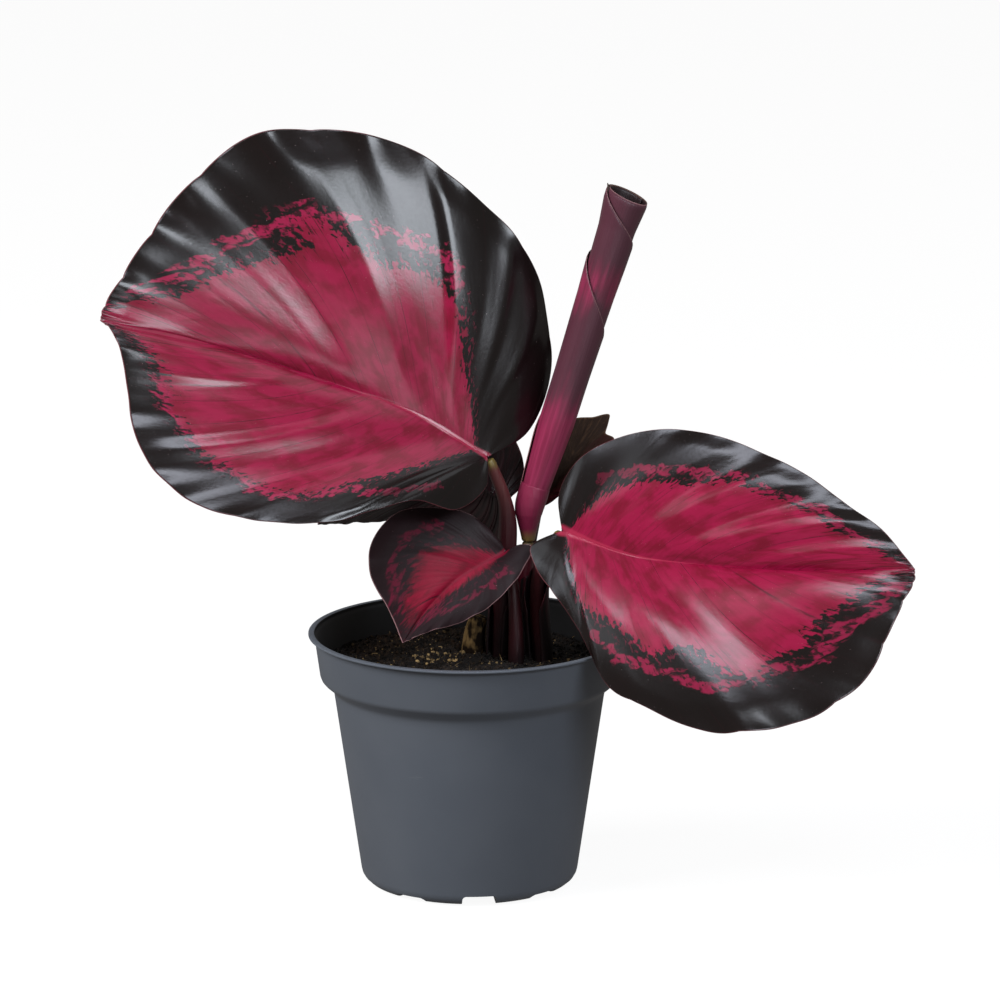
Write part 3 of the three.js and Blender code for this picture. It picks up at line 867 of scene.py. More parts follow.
    def relief(self, order: np.ndarray, reach: np.ndarray, side: np.ndarray) -> np.ndarray:
        """Find how far the blade stands off the plain sheet: arch, pleats, margin waves, creases."""
        count, depth = self.pleats
        along = np.sin(np.pi * order)
        phase = side * 1.1
        turn = 2 * np.pi * count * order
        arch = np.where(side == Side.RIGHT, *self.bulge) * 4 * reach * (1 - reach) * along
        pleat = 0.12 * depth * np.sin(np.pi * reach) * np.cos(turn + phase)
        wave = np.sin(1.5 * turn + phase) + 0.6 * np.sin(2.6 * turn + 2 * phase)
        vein = self.vein(order, reach)
        swell = self.vein_depth * np.abs(np.sin(np.pi * self.counted(vein))) ** 0.7
        ripple = np.where(side == Side.RIGHT, *self.ripple) * reach**9 * wave
        height = arch + along * (pleat + ripple)
        height = height + swell * smoothstep(reach, 0.03, 0.2) * along**0.5
        window = smoothstep(reach, 0.04, 0.5) * (1 - 0.8 * smoothstep(reach, 0.86, 1.0))
        for half, pairs in zip(Side, self.creases):
            if pairs:
                height = height + np.where(side == half, softened(pairs, vein) * window, 0)
        return height

    def marking(
        self,
        lines: tuple[Pairs, Pairs],
        order: np.ndarray,
        reach: np.ndarray,
        side: np.ndarray,
        length: np.ndarray,
        signed: bool,
    ) -> np.ndarray:
        """Measure how far each point lies from a line drawn on the blade.

        Args:
            lines: For each side, the line as (order, reach) pairs in rising order.
            order, reach, side, length: Grids of the blade's coordinates.
            signed: Whether the distance is negative on the margin's side of the line.

        Returns:
            Distances in millimetres on the flattened blade. Far away where there is no line.
        """
        distance = np.full(order.shape, -FAR if signed else FAR)
        for half, pairs in zip(Side, lines):
            if not pairs:
                continue
            line = np.asarray(pairs, float)
            own = side == half
            scale = length[:, 0 if half == Side.RIGHT else -1]
            length_at = np.interp(line[:, 0], order[:, 0], scale)
            flat = np.stack([line[:, 0] * self.breadth, line[:, 1] * length_at], axis=1)
            places = np.stack([order * self.breadth, reach * length], axis=-1)[own]
            gap = distance_to_line(places, flat)
            if signed:
                limit = np.interp(order, line[:, 0], line[:, 1], left=0.0)[own]
                gap = np.where(reach[own] < limit, gap, -gap)
            distance[own] = gap
        return distance


# ------------------------------------------------------------------ the rolled leaf


@dataclass
class RolledLeaf:
    """The new leaf, rolled round a straight leaning axis, with its closed foot and dried tip."""

    piece: str = "rolled_leaf_skin"
    node: str = "rolled_leaf"
    slot: str = "rolled_leaf"
    foot: tuple[float, float, float] = (22.5, 5, 142)
    top: tuple[float, float, float] = (58.7, 16, 257)
    widths: Pairs = (
        (0, 5.4), (33, 7.3), (51, 7.4), (69, 7.8), (82, 8.1), (95, 8.7), (108, 9.1), (118, 10.3),
    )
    drops: Pairs = ((1, 0), (1.5, 0.14), (2, 0.22), (2.5, 0.43), (3, 0.8))
    first_turn: float = -0.4
    last_turn: float = 3.0
    pitch: float = 0.93
    slant: tuple[float, float] = (1.0, 1.3)
    thickness: float = 0.42
    sheet_start: float = 3.0
    mean_radius: float = 7.0
    low_glow: tuple[float, float] = (18, 62)
    fold_glow: Pairs = ((60, 90), (84, 104))
    fold_turn: float = 2.55
    spike: Points = ((51.9, 14.6, 255.5), (51.5, 14.6, 258.6), (51.1, 14.6, 261.6))
    spike_radii: tuple[float, ...] = (0.6, 0.4, 0.25)
    cone: Points = ((22, 5, 128.5), (22, 5, 136), (22.5, 5, 142), (24.8, 5.7, 149.4))
    cone_radii: tuple[float, ...] = (2.4, 3.2, 4.2, 5.1, 5.55, 5.7, 5.5)
    steps: int = 340
    rows: int = 90

    def build(self) -> None:
        """Make the sheet, its closed foot and the dried tip inside its mouth."""
        turn, share = np.meshgrid(
            np.linspace(self.first_turn, self.last_turn, self.steps + 1),
            np.linspace(0, 1, self.rows + 1),
            indexing="ij",
        )
        middle, height, tops = self.wound(turn, share)
        rim = np.minimum((1 - share) * tops,
                         (self.last_turn - turn) * 2 * np.pi * self.mean_radius)
        half = self.thickness / 2
        edge = rounded_edge(rim, half)
        values = {
            "skin": np.stack([turn * 44, height, np.zeros_like(turn)], axis=-1),
            "rim": rim,
            "glow": self.glow(turn, height),
        }
        piece = thin_sheet(self.piece, middle, edge * half, edge * half, values)
        dress(piece, ROLL_SKIN, ROLL_INSIDE)
        hand_over(piece, self.slot, self.node)
        Stalk("rolled_leaf_foot", self.node, self.cone, self.cone_radii, ROLL_FOOT,
              self.slot).build()
        Stalk("rolled_leaf_tip", self.node, self.spike, self.spike_radii, ROLL_TIP, self.slot,
              sides=10, rings=12).build()

    def glow(self, turn: np.ndarray, height: np.ndarray) -> np.ndarray:
        """Find how magenta the skin is: fully low down, and partly in the fold above that."""
        low = 1 - smoothstep(height, *self.low_glow)
        begins, ends = self.fold_glow
        fold = smoothstep(self.fold_turn - turn, 0, 0.25) * smoothstep(height, *begins)
        return np.clip(low + 0.55 * fold * (1 - smoothstep(height, *ends)), 0, 1)

    def wound(self, turn: np.ndarray, share: np.ndarray) -> tuple[np.ndarray, ...]:
        """Wind the sheet round its axis.

        Args:
            turn: Grid of turns wound, from the inner margin out.
            share: Grid of shares of the height, from the foot to the sheet's top.

        Returns:
            Grids of the sheet's middle, of its height along the axis and of its top's height.
        """
        foot = np.asarray(self.foot, float)
        axis = np.asarray(self.top, float) - foot
        tall = np.linalg.norm(axis)
        axis = axis / tall
        front = np.array([0, -1, 0]) + axis * axis[1]
        front = front / np.linalg.norm(front)
        right = np.cross(axis, front)
        angle = (turn + 0.5) * 2 * np.pi
        to_right, to_front = self.slant
        tops = tall * (1 - read_off(self.drops, turn))
        tops = tops - to_right * np.cos(angle) + to_front * np.sin(angle)
        height = self.sheet_start + (tops - self.sheet_start) * share
        radius = read_off(self.widths, height) - self.pitch * (self.last_turn - turn)
        radius = radius - self.thickness / 2
        around = right * np.cos(angle)[..., None] - front * np.sin(angle)[..., None]
        return foot + axis * height[..., None] + around * radius[..., None], height, tops


# ------------------------------------------------------------------ stalks


@dataclass
class Stalk:
    """A round stalk along a smooth line, made by a tree of nodes that follows the line."""

    piece: str
    node: str
    path: Points
    radii: tuple[float, ...]
    finish: Finish = STALK
    slot: str = "stalk"
    sides: int = 28
    rings: int = 72
    end_tapers: tuple[float, float] = (0.9, 0.8)

    def build(self) -> None:
        """Lay the line, sweep the stalk along it and hand it over."""
        shares = np.linspace(0, 1, self.rings + 1)
        spots = np.linspace(0, 1, len(self.radii))
        radius = np.interp(shares, spots, self.radii)
        radius[[0, -1]] *= self.end_tapers
        line = path_object(self.piece, smooth_line(self.path, shares), radius)
        piece = grown(line, stalk_tree(), {"Sides": self.sides, "Finish": self.finish.material()})
        hand_over(piece, self.slot, self.node)


@dataclass
class Sheath:
    """A thin sheath that clasps the foot of a stalk, open along one side."""

    piece: str
    node: str
    path: Points
    radii: tuple[float, float]
    heights: tuple[float, float]
    opening: float
    facing: float
    thickness: float = 0.44
    side_drop: float = 0.45
    flare: float = 0.35
    winding: float = 0.5
    steps: int = 60
    rows: int = 40

    def build(self) -> None:
        """Make the sheath round its part of the stalk's line."""
        turn, share = np.meshgrid(
            np.linspace(-1, 1, self.steps + 1), np.linspace(0, 1, self.rows + 1), indexing="ij"
        )
        low, high = self.heights
        top = high - (high - low) * self.side_drop * np.abs(turn) ** 1.6
        height = low + (top - low) * share
        line = smooth_line(self.path, np.linspace(0, 1, 200))
        centre = np.stack([np.interp(height, line[:, 2], line[:, axis]) for axis in (0, 1)], axis=-1)
        angle = math.radians(self.facing) + turn * (math.pi - math.radians(self.opening) / 2)
        up = (height - low) / (high - low)
        radius = self.radii[0] + (self.radii[1] - self.radii[0]) * up
        radius = radius + self.flare * np.abs(turn) ** 3 + self.winding * turn
        around = np.stack([np.cos(angle), np.sin(angle)], axis=-1)
        middle = np.concatenate([centre + around * radius[..., None], height[..., None]], axis=-1)
        half = self.thickness / 2
        edge = rounded_edge(np.minimum((1 - np.abs(turn)) * 12, (1 - share) * (top - low)), half)
        values = {
            "skin": np.stack([turn * 9, height, np.zeros_like(turn)], axis=-1),
            "glow": np.clip(smoothstep(up, 0.3, 1.0), 0, 1),
        }
        piece = thin_sheet(self.piece, middle, edge * half, edge * half, values)
        dress(piece, SHEATH, SHEATH)
        hand_over(piece, "stalk", self.node)


def path_object(name: str, points: np.ndarray, radii: np.ndarray) -> bpy.types.Object:
    """Make a line object through points in millimetres, with a radius at each."""
    curve = bpy.data.curves.new(name + "_line", "CURVE")
    curve.dimensions = "3D"
    spline = curve.splines.new("POLY")
    spline.points.add(len(points) - 1)
    spline.points.foreach_set("co", np.hstack([points * MM, np.ones((len(points), 1))]).ravel())
    spline.points.foreach_set("radius", (radii * MM).ravel())
    return add_object(name, curve)


def new_tree(name: str, **inputs: str) -> tuple[Sketch, bpy.types.Node, bpy.types.Node]:
    """Start a geometry tree.

    Args:
        name: The tree's name.
        **inputs: Kinds of its named inputs after the geometry, such as Float.

    Returns:
        The sketch, the group input and the group output.
    """
    tree = bpy.data.node_groups.new(name, "GeometryNodeTree")
    for key, kind in {"Geometry": "Geometry", **inputs}.items():
        tree.interface.new_socket(key, in_out="INPUT", socket_type=f"NodeSocket{kind}")
    tree.interface.new_socket("Geometry", in_out="OUTPUT", socket_type="NodeSocketGeometry")
    sketch = Sketch(tree)
    return sketch, sketch.add("NodeGroupInput"), sketch.add("NodeGroupOutput")


def end_tree(sketch: Sketch, shape: bpy.types.Node, finish: bpy.types.NodeSocket,
             result: bpy.types.Node) -> bpy.types.NodeTree:
    """Make a tree's shape real, give it its finish and lead it out."""
    real = sketch.add("GeometryNodeRealizeInstances", Geometry=shape)
    painted = sketch.add("GeometryNodeSetMaterial", Geometry=real, Material=finish)
    sketch.feed(result.inputs["Geometry"], painted)
    return sketch.tree


@cache
def stalk_tree() -> bpy.types.NodeTree:
    """Make the tree that sweeps a round section along a line and notes how far up it is."""
    sketch, given, result = new_tree("stalk", Sides="Int", Finish="Material")
    share = sketch.add("GeometryNodeSplineParameter").outputs["Factor"]
    noted = sketch.add("GeometryNodeStoreNamedAttribute", POINT_NUMBER, Geometry=given, Name="up",
                       Value=share)
    section = sketch.add("GeometryNodeCurvePrimitiveCircle", Resolution=given.outputs["Sides"],
                         Radius=1.0)
    swept = sketch.add("GeometryNodeCurveToMesh", Curve=noted, Profile_Curve=section,
                       Scale=sketch.add("GeometryNodeInputRadius"), Fill_Caps=True)
    smooth = sketch.add("GeometryNodeSetShadeSmooth", Geometry=swept)
    return end_tree(sketch, smooth, given.outputs["Finish"], result)


def grown(base: bpy.types.Object, tree: bpy.types.NodeTree, inputs: dict) -> bpy.types.Object:
    """Run a geometry tree on an object and keep what it makes as a plain mesh.

    Args:
        base: The object that the tree starts from. It is removed.
        tree: The geometry tree.
        inputs: Values of the tree's inputs, by name.

    Returns:
        A new object of the same name, with a plain mesh and no modifier.
    """
    name = base.name
    modifier = base.modifiers.new("grow", "NODES")
    modifier.node_group = tree
    for item in tree.interface.items_tree:
        if item.in_out == "INPUT" and item.name in inputs:
            modifier[item.identifier] = inputs[item.name]
    bpy.context.view_layer.update()
    shaped = base.evaluated_get(bpy.context.evaluated_depsgraph_get())
    mesh = bpy.data.meshes.new_from_object(shaped)
    base.modifiers.remove(modifier)
    bpy.data.objects.remove(base)
    mesh.name = name
    return add_object(name, mesh)


# ------------------------------------------------------------------ pot and soil


@dataclass
class NurseryPot:
    """The plastic pot: a turned wall, and drainage channels that run out under its base."""

    piece: str = "pot_shell"
    node: str = "pot"
    height: float = 95
    wall: float = 1.2
    facets: int = 216
    face: Pairs = (
        (0, 0), (35.8, 0), (36.8, 0.12), (38.2, 0.6), (39.5, 1.7), (40.3, 3.1), (40.65, 4.5),
        (50.2, 70.2), (50.6, 72.7), (50.9, 73.7), (51.5, 74.6), (54.6, 77.2), (55.3, 78.0),
        (55.7, 79.1), (57.6, 92.6), (57.75, 93.3), (58.2, 93.8), (59.7, 94.1), (60, 94.35),
        (60, 94.75), (59.85, 94.95), (59.6, 95),
    )
    inner: Pairs = (
        (57.85, 95), (57.65, 94.9), (57.6, 94.6), (57.55, 93.9), (57.0, 93.4), (56.5, 92.8),
        (54.6, 79.3), (53.8, 78.3), (50.5, 75.5), (49.5, 73.4), (39.45, 4.9), (35.9, 1.2),
        (0, 1.2),
    )
    channel_width: float = 12.7
    channel_heights: tuple[float, ...] = (4, 2, 2)
    channel_start: float = 14
    channel_count: int = 9
    first_angle: float = -84.4
    channel_end: float = 58.0
    corner: float = 1.5
    drain_radius: float = 4.0
    drain_place: float = 30.0
    drain_depth: float = 4.0
    # Height above which the inner wall takes the painted-shade finish.
    shade_from: float = 5.0

    def build(self) -> None:
        """Turn the wall, cut the channels and their drain holes and hand the pot over."""
        above = self.height + 2
        outside = self.turned("pot_outside", (*self.face, (0, self.height)))
        inside = self.turned("pot_inside", ((0, above), (self.inner[0][0], above), *self.inner))
        ridges = self.bars("pot_ridges", self.wall)
        cut(inside, ridges)
        cut(outside, inside)
        cut(outside, self.bars("pot_channels", 0))
        cut(outside, self.drains())
        outside.name = self.piece
        weld(outside, sharp_degrees=32)
        outside.data.materials.clear()
        # The second finish is the inner wall's painted shade.
        dress(outside, PLASTIC, SHADED_WALL_PLASTIC)
        self.darken_inside(outside)
        hand_over(outside, "pot", self.node)

    def darken_inside(self, pot: bpy.types.Object) -> None:
        """Give the inner face of the wall its own near-black finish, which is painted shade."""
        for face in pot.data.polygons:
            inwards = face.center.x * face.normal.x + face.center.y * face.normal.y < 0
            if inwards and face.center.z > self.shade_from * MM:
                face.material_index = 1

    def channels(self) -> Iterator[tuple[float, float]]:
        """Give the direction in radians and the height of each channel."""
        for index in range(self.channel_count):
            tall = self.channel_heights[index % len(self.channel_heights)]
            yield math.radians(self.first_angle + index * 360 / self.channel_count), tall

    def drains(self) -> bpy.types.Object:
        """Stand a short round plug in the roof of each channel."""
        work = bmesh.new()
        radius = self.drain_radius * MM
        for angle, tall in self.channels():
            x, y = self.drain_place * math.cos(angle), self.drain_place * math.sin(angle)
            bmesh.ops.create_cone(
                work, cap_ends=True, segments=32, radius1=radius, radius2=radius,
                depth=self.drain_depth * MM, matrix=Matrix.Translation(Vector((x, y, tall)) * MM),
            )
        mesh = bpy.data.meshes.new("pot_drains")
        work.to_mesh(mesh)
        work.free()
        return add_object("pot_drains", mesh)

    def turned(self, name: str, profile: Pairs) -> bpy.types.Object:
        """Turn a closed profile about the pot's axis."""
        outline = np.asarray(profile, float)
        angle = np.linspace(0, 2 * np.pi, self.facets, endpoint=False)
        radius, height = outline[:, 0][:, None], outline[:, 1][:, None]
        points = np.stack([radius * np.cos(angle), radius * np.sin(angle),
                           np.broadcast_to(height, (len(outline), self.facets))], axis=-1)
        number = np.arange(points.shape[0] * self.facets).reshape(len(outline), self.facets)
        beside = np.roll(number, -1, axis=1)
        faces = np.stack([number[:-1], beside[:-1], beside[1:], number[1:]], axis=-1)
        piece = new_piece(name, points.reshape(-1, 3), faces.reshape(-1, 4).tolist())
        weld(piece)
        face_outwards(piece)
        return piece

    def bars(self, name: str, margin: float) -> bpy.types.Object:
        """Lay bars with rounded tops along the channels, a margin wider and higher than they are."""
        points: list[tuple[float, float, float]] = []
        faces: list[tuple[int, ...]] = []
        half = self.channel_width / 2 + margin
        for angle, roof in self.channels():
            turns = np.linspace(0, np.pi / 2, 6)
            curve = [(half - self.corner + self.corner * math.cos(turn),
                      roof + margin - self.corner + self.corner * math.sin(turn)) for turn in turns]
            section = [(half, -1.0), *curve, *[(-y, z) for y, z in reversed(curve)], (-half, -1.0)]
            start, count = len(points), len(section)
            for x in (self.channel_start - margin, self.channel_end):
                points += [(x * math.cos(angle) - y * math.sin(angle),
                            x * math.sin(angle) + y * math.cos(angle), z) for y, z in section]
            first = range(start, start + count)
            faces.append(tuple(reversed(first)))
            faces.append(tuple(corner + count for corner in first))
            for corner, after in zip(first, (*first[1:], start)):
                faces.append((corner, after, after + count, corner + count))
        piece = new_piece(name, np.array(points), faces)
        face_outwards(piece)
        return piece


def face_outwards(piece: bpy.types.Object) -> None:
    """Turn the faces of each closed shell of a piece outwards."""
    work = bmesh.new()
    work.from_mesh(piece.data)
    bmesh.ops.recalc_face_normals(work, faces=work.faces)
    work.to_mesh(piece.data)
    work.free()


def cut(piece: bpy.types.Object, tool: bpy.types.Object) -> None:
    """Cut a tool out of a piece and remove the tool."""
    modifier = piece.modifiers.new("cut", "BOOLEAN")
    modifier.operation = "DIFFERENCE"
    modifier.solver = "MANIFOLD"
    modifier.object = tool
    bpy.context.view_layer.update()
    shaped = piece.evaluated_get(bpy.context.evaluated_depsgraph_get())
    mesh = bpy.data.meshes.new_from_object(shaped)
    piece.modifiers.remove(modifier)
    old, piece.data = piece.data, mesh
    bpy.data.meshes.remove(old)
    bpy.data.objects.remove(tool)


@dataclass
class Scatter:
    """Loose grains of one kind, strewn over the soil by a tree of nodes."""

    piece: str
    shape: str
    spacing: float
    density: float
    sizes: tuple[float, float]
    tints: tuple[float, float]
    seed: int
    flat: float = 1.0
    patch: tuple[float, float, float] | None = None


@dataclass
class PottingSoil:
    """The soil's lumpy top, its body down to the pot's base, and the grains that lie on it."""

    piece: str = "soil_bed"
    node: str = "soil"
    edge_height: float = 82.5
    mound: float = 2.0
    lump: float = 0.9
    grit: float = 0.25
    mound_radius: float = 55.7
    top_radius: float = 54.7
    rings: int = 90
    spokes: int = 220
    body: Pairs = ((54.1, 79.1), (50.0, 75.7), (48.9, 73.4), (39.0, 6), (0, 6))
    grains: tuple[Scatter, ...] = (
        Scatter("soil_crumbs", "crumb", 1.5, 260000, (0.9, 2.4), (0.0, 0.75), 3),
        Scatter("soil_fine_crumbs", "crumb", 0.8, 500000, (0.4, 1.0), (0.1, 0.9), 5),
        Scatter("soil_bark", "chip", 3.2, 40000, (1.6, 3.8), (0.3, 0.86), 7, 0.35),
        Scatter("soil_fibres", "fibre", 5.0, 12000, (3.0, 7.0), (0.5, 0.95), 11, 0.4),
        Scatter("soil_pale_specks", "crumb", 5.5, 9000, (0.5, 1.1), (0.97, 1.0), 13),
        Scatter("soil_lumps", "crumb", 1.1, 300000, (0.7, 2.2), (0.62, 1.0), 17, 1.0,
                (-11, 1, 11)),
        Scatter("soil_lumps_right", "crumb", 1.3, 200000, (0.6, 1.7), (0.62, 1.0), 19, 1.0,
                (8, -9, 7)),
    )

    def height(self, x: np.ndarray, y: np.ndarray) -> np.ndarray:
        """Return the height of the ground, as a low mound with three crossing waves and grit."""
        share = np.hypot(x, y) / self.mound_radius
        lumps = (np.sin(x * 0.31 + 1.3) * np.cos(y * 0.27) + 0.6 * np.sin(x * 0.62 - y * 0.45)
                 + 0.4 * np.cos(x * 0.9 + y * 0.8 + 2))
        grit = (np.sin(x * 2.1 + 3 * np.sin(y * 0.7)) * np.cos(y * 1.9 + 2 * np.sin(x * 0.9))
                + 0.6 * np.sin(x * 4.3 - y * 3.1) * np.cos(y * 4.9 + x * 1.7))
        mound = self.mound * (1 - share**2)
        return self.edge_height + mound + self.lump * lumps + self.grit * grit

    def build(self) -> None:
        """Make the bed, then strew the grains."""
        piece = self.ground(self.piece, (0, 0, self.top_radius), self.body)
        set_attribute(piece, "tint", np.zeros(len(piece.data.vertices)))
        weld(piece)
        dress(piece, PEAT)
        hand_over(piece, "soil", self.node)
        shapes = {
            "crumb": lump_mesh("crumb_shape", (1.0, 0.85, 0.7), 21),
            "chip": lump_mesh("chip_shape", (1.0, 0.6, 0.25), 22),
            "fibre": fibre_shape(),
        }
        for scatter in self.grains:
            cover = self.ground(scatter.piece, scatter.patch or (0, 0, self.top_radius), ())
            strew(cover, shapes[scatter.shape], scatter, self.node)
        for shape in shapes.values():
            bpy.data.objects.remove(shape)

    def ground(self, name: str, patch: tuple[float, float, float], body: Pairs) -> bpy.types.Object:
        """Make a round stretch of the soil's top.

        Args:
            name: The object's name.
            patch: Its middle and its radius.
            body: Rows of radius and height that close it below; empty for the top alone.

        Returns:
            The linked object.
        """
        left, back, wide = patch
        angle = np.linspace(0, 2 * np.pi, self.spokes, endpoint=False)
        rows = []
        for radius in np.linspace(0, wide, self.rings + 1):
            x, y = left + radius * np.cos(angle), back + radius * np.sin(angle)
            rows.append(np.stack([x, y, self.height(x, y)], axis=-1))
        for radius, level in body:
            x, y = radius * np.cos(angle), radius * np.sin(angle)
            rows.append(np.stack([x, y, np.full_like(x, level)], axis=-1))
        number = np.arange(len(rows) * self.spokes).reshape(-1, self.spokes)
        beside = np.roll(number, -1, axis=1)
        faces = np.stack([number[:-1], number[1:], beside[1:], beside[:-1]], axis=-1)
        return new_piece(name, np.concatenate(rows), faces.reshape(-1, 4).tolist())


def lump_mesh(name: str, stretch: tuple[float, float, float], seed: int) -> bpy.types.Object:
    """Make a small uneven lump, one unit across, that isn't shown by itself."""
    work = bmesh.new()
    bmesh.ops.create_icosphere(work, subdivisions=1, radius=0.5)
    draw = np.random.default_rng(seed)
    for vertex in work.verts:
        vertex.co = Vector(stretch) * vertex.co * float(draw.uniform(0.7, 1.25))
    mesh = bpy.data.meshes.new(name)
    work.to_mesh(mesh)
    work.free()
    mesh.shade_smooth()
    return bpy.data.objects.new(name, mesh)


def fibre_shape() -> bpy.types.Object:
    """Make a thin bent fibre, one unit long."""
    share = np.linspace(0, 1, 7)
    centre = np.stack([share - 0.5, 0.18 * np.sin(share * 4.2), 0.10 * np.sin(share * 3.1)], axis=-1)
    angle = np.linspace(0, 2 * np.pi, 4, endpoint=False)
    thick = 0.028 * np.sin(np.pi * np.clip(share, 0.06, 0.94))
    section = np.stack([np.zeros(4), np.cos(angle), np.sin(angle)], axis=-1)
    points = (centre[:, None] + section[None] * thick[:, None, None]).reshape(-1, 3)
    faces = [(ring + corner, ring + (corner + 1) % 4, ring + 4 + (corner + 1) % 4, ring + 4 + corner)
             for ring in range(0, 24, 4) for corner in range(4)]
    faces += [(3, 2, 1, 0), (24, 25, 26, 27)]
    mesh = bpy.data.meshes.new("fibre_shape")
    mesh.from_pydata(points.tolist(), [], faces)
    mesh.shade_smooth()
    return bpy.data.objects.new("fibre_shape", mesh)


@cache
def strew_tree() -> bpy.types.NodeTree:
    """Make the tree that strews copies of a shape over a surface, each turned and tinted."""
    sketch, given, result = new_tree(
        "strew", Shape="Object", Spacing="Float", Density="Float", Smallest="Float",
        Largest="Float", Palest="Float", Darkest="Float", Lie="Float", Seed="Int",
        Finish="Material",
    )
    take = given.outputs
    spots = sketch.add(
        "GeometryNodeDistributePointsOnFaces", {"distribute_method": "POISSON"}, Mesh=given,
        Distance_Min=take["Spacing"], Density_Max=take["Density"], Seed=take["Seed"],
    )
    seeds = [sketch.math("ADD", take["Seed"], float(step)) for step in range(1, 5)]
    tint = random_value(sketch, take["Darkest"], take["Palest"], take["Seed"])
    noted = sketch.add("GeometryNodeStoreNamedAttribute", POINT_NUMBER, Geometry=spots,
                       Name="tint", Value=tint)
    yaw = random_value(sketch, 0.0, 2 * math.pi, seeds[0])
    pitch = random_value(sketch, -math.pi, math.pi, seeds[1])
    roll = random_value(sketch, -math.pi, math.pi, seeds[2])
    turn = sketch.add("ShaderNodeCombineXYZ", X=roll * take["Lie"], Y=pitch * take["Lie"], Z=yaw)
    shape = sketch.add("GeometryNodeObjectInfo", Object=take["Shape"]).outputs["Geometry"]
    placed = sketch.add("GeometryNodeInstanceOnPoints", Points=noted, Instance=shape, Rotation=turn,
                        Scale=random_value(sketch, take["Smallest"], take["Largest"], seeds[3]))
    return end_tree(sketch, placed, take["Finish"], result)


def random_value(sketch: Sketch, low: Value, high: Value, seed: Value) -> Wire:
    """Draw a number for each element, from low to high."""
    node = sketch.add("FunctionNodeRandomValue", {"data_type": "FLOAT"})
    given = {"Min": low, "Max": high, "Seed": seed}
    for socket in node.inputs:
        if socket.enabled and socket.name in given:
            sketch.feed(socket, given[socket.name])
    return Wire(sketch, next(socket for socket in node.outputs if socket.enabled))


def strew(cover: bpy.types.Object, shape: bpy.types.Object, scatter: Scatter, node: str) -> None:
    """Strew one kind of grain over the cover, which it replaces, and hand it over."""
    smallest, largest = scatter.sizes
    darkest, palest = scatter.tints
    inputs = {
        "Shape": shape, "Spacing": scatter.spacing * MM, "Density": float(scatter.density),
        "Smallest": smallest * MM, "Largest": largest * MM, "Palest": palest,
        "Darkest": darkest, "Lie": scatter.flat, "Seed": scatter.seed, "Finish": PEAT.material(),
    }
    piece = grown(cover, strew_tree(), inputs)
    hand_over(piece, "soil", node)


# ------------------------------------------------------------------ studio


@dataclass
class Softbox:
    """A rectangular studio light, turned to the plant."""

    name: str
    azimuth: float
    height: float
    distance: float
    size: tuple[float, float]
    watts: float
    colour: Colour = (1.0, 1.0, 1.0)
    mirrored: bool = True
    aim_height: float = 0.2

    def build(self) -> None:
        """Hang the light. Its azimuth counts from the front to the right, its height from level."""
        light = bpy.data.lights.new(self.name, "AREA")
        light.shape = "RECTANGLE"
        light.size, light.size_y = self.size
        light.energy = self.watts
        light.color = self.colour
        turn, rise = math.radians(self.azimuth), math.radians(self.height)
        flat = self.distance * math.cos(rise)
        offset = Vector((flat * math.sin(turn), -flat * math.cos(turn),
                         self.distance * math.sin(rise)))
        lamp = add_object(self.name, light)
        lamp.location = Vector((0, 0, self.aim_height)) + offset
        lamp.rotation_euler = (-offset).to_track_quat("-Z", "Y").to_euler()
        lamp.visible_glossy = self.mirrored


@dataclass
class Studio:
    """Camera, floor and lights."""

    eye: tuple[float, float, float] = (0.01144, -1.98617, 0.60365)
    tilt_down: float = 13.0
    lens: float = 198.0
    sky: Colour = (1.0, 0.95, 0.91)
    ambient: float = 0.2
    floor_reach: float = 9000.0
    floor_drop: float = 0.3
    lights: tuple[Softbox, ...] = (
        Softbox("softbox_left", -65, 30, 2.0, (1.1, 1.1), 52.0, mirrored=False),
        Softbox("softbox_front", 34, 27, 2.2, (1.05, 0.6), 23.0, (0.86, 0.92, 1.0)),
        Softbox("softbox_top", 8, 64, 1.8, (0.6, 0.44), 7.5, (0.84, 0.88, 1.0)),
        Softbox("softbox_high_left", -44, 47, 1.9, (0.9, 0.9), 3.2, (0.86, 0.93, 1.0)),
        Softbox("softbox_high_right", 90, 60, 1.9, (1.0, 1.0), 2.6, (0.88, 0.94, 1.0)),
        Softbox("card_front", 9, 4, 2.2, (0.75, 0.3), 1.9, (0.9, 0.92, 1.0)),
        Softbox("card_left", -57, 33, 1.9, (0.5, 0.5), 1.8, (0.84, 0.9, 1.0)),
    )

    def place_camera(self) -> None:
        """Set the camera at the height and tilt of the photograph's."""
        camera = bpy.data.cameras.new("camera")
        camera.lens = self.lens
        camera.sensor_width = 36.0
        camera.clip_end = 60.0
        holder = add_object("camera", camera)
        holder.location = self.eye
        holder.rotation_euler = (math.radians(90 - self.tilt_down), 0, 0)
        bpy.context.scene.camera = holder

    def build(self) -> None:
        """Lay the floor, hang the lights and set the sky."""
        bpy.context.scene.view_settings.view_transform = "Standard"
        far, low = self.floor_reach, -self.floor_drop
        corners = np.array([(-far, -far, low), (far, -far, low), (far, far, low), (-far, far, low)])
        floor = new_piece("studio_floor", corners, [(0, 1, 2, 3)])
        floor.visible_diffuse = False
        floor.visible_glossy = False
        dress(floor, GROUND)
        for light in self.lights:
            light.build()
        world = bpy.data.worlds.new("studio_sky")
        world.use_nodes = True
        backdrop = world.node_tree.nodes["Background"]
        backdrop.inputs["Color"].default_value = (*self.sky, 1)
        backdrop.inputs["Strength"].default_value = self.ambient
        bpy.context.scene.world = world


def hand_over(piece: bpy.types.Object, slot: str, *nodes: str) -> None:
    """Attach a finished piece to the root body and hide the solids that it stands for.

    Args:
        piece: The finished object.
        slot: Not used.
        *nodes: The solids that it stands for.
    """
    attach(piece, "root")
    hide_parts(*nodes)
    log.info("%s: %d faces, stands for %s", piece.name, len(piece.data.polygons), ", ".join(nodes))


# ------------------------------------------------------------------ this plant


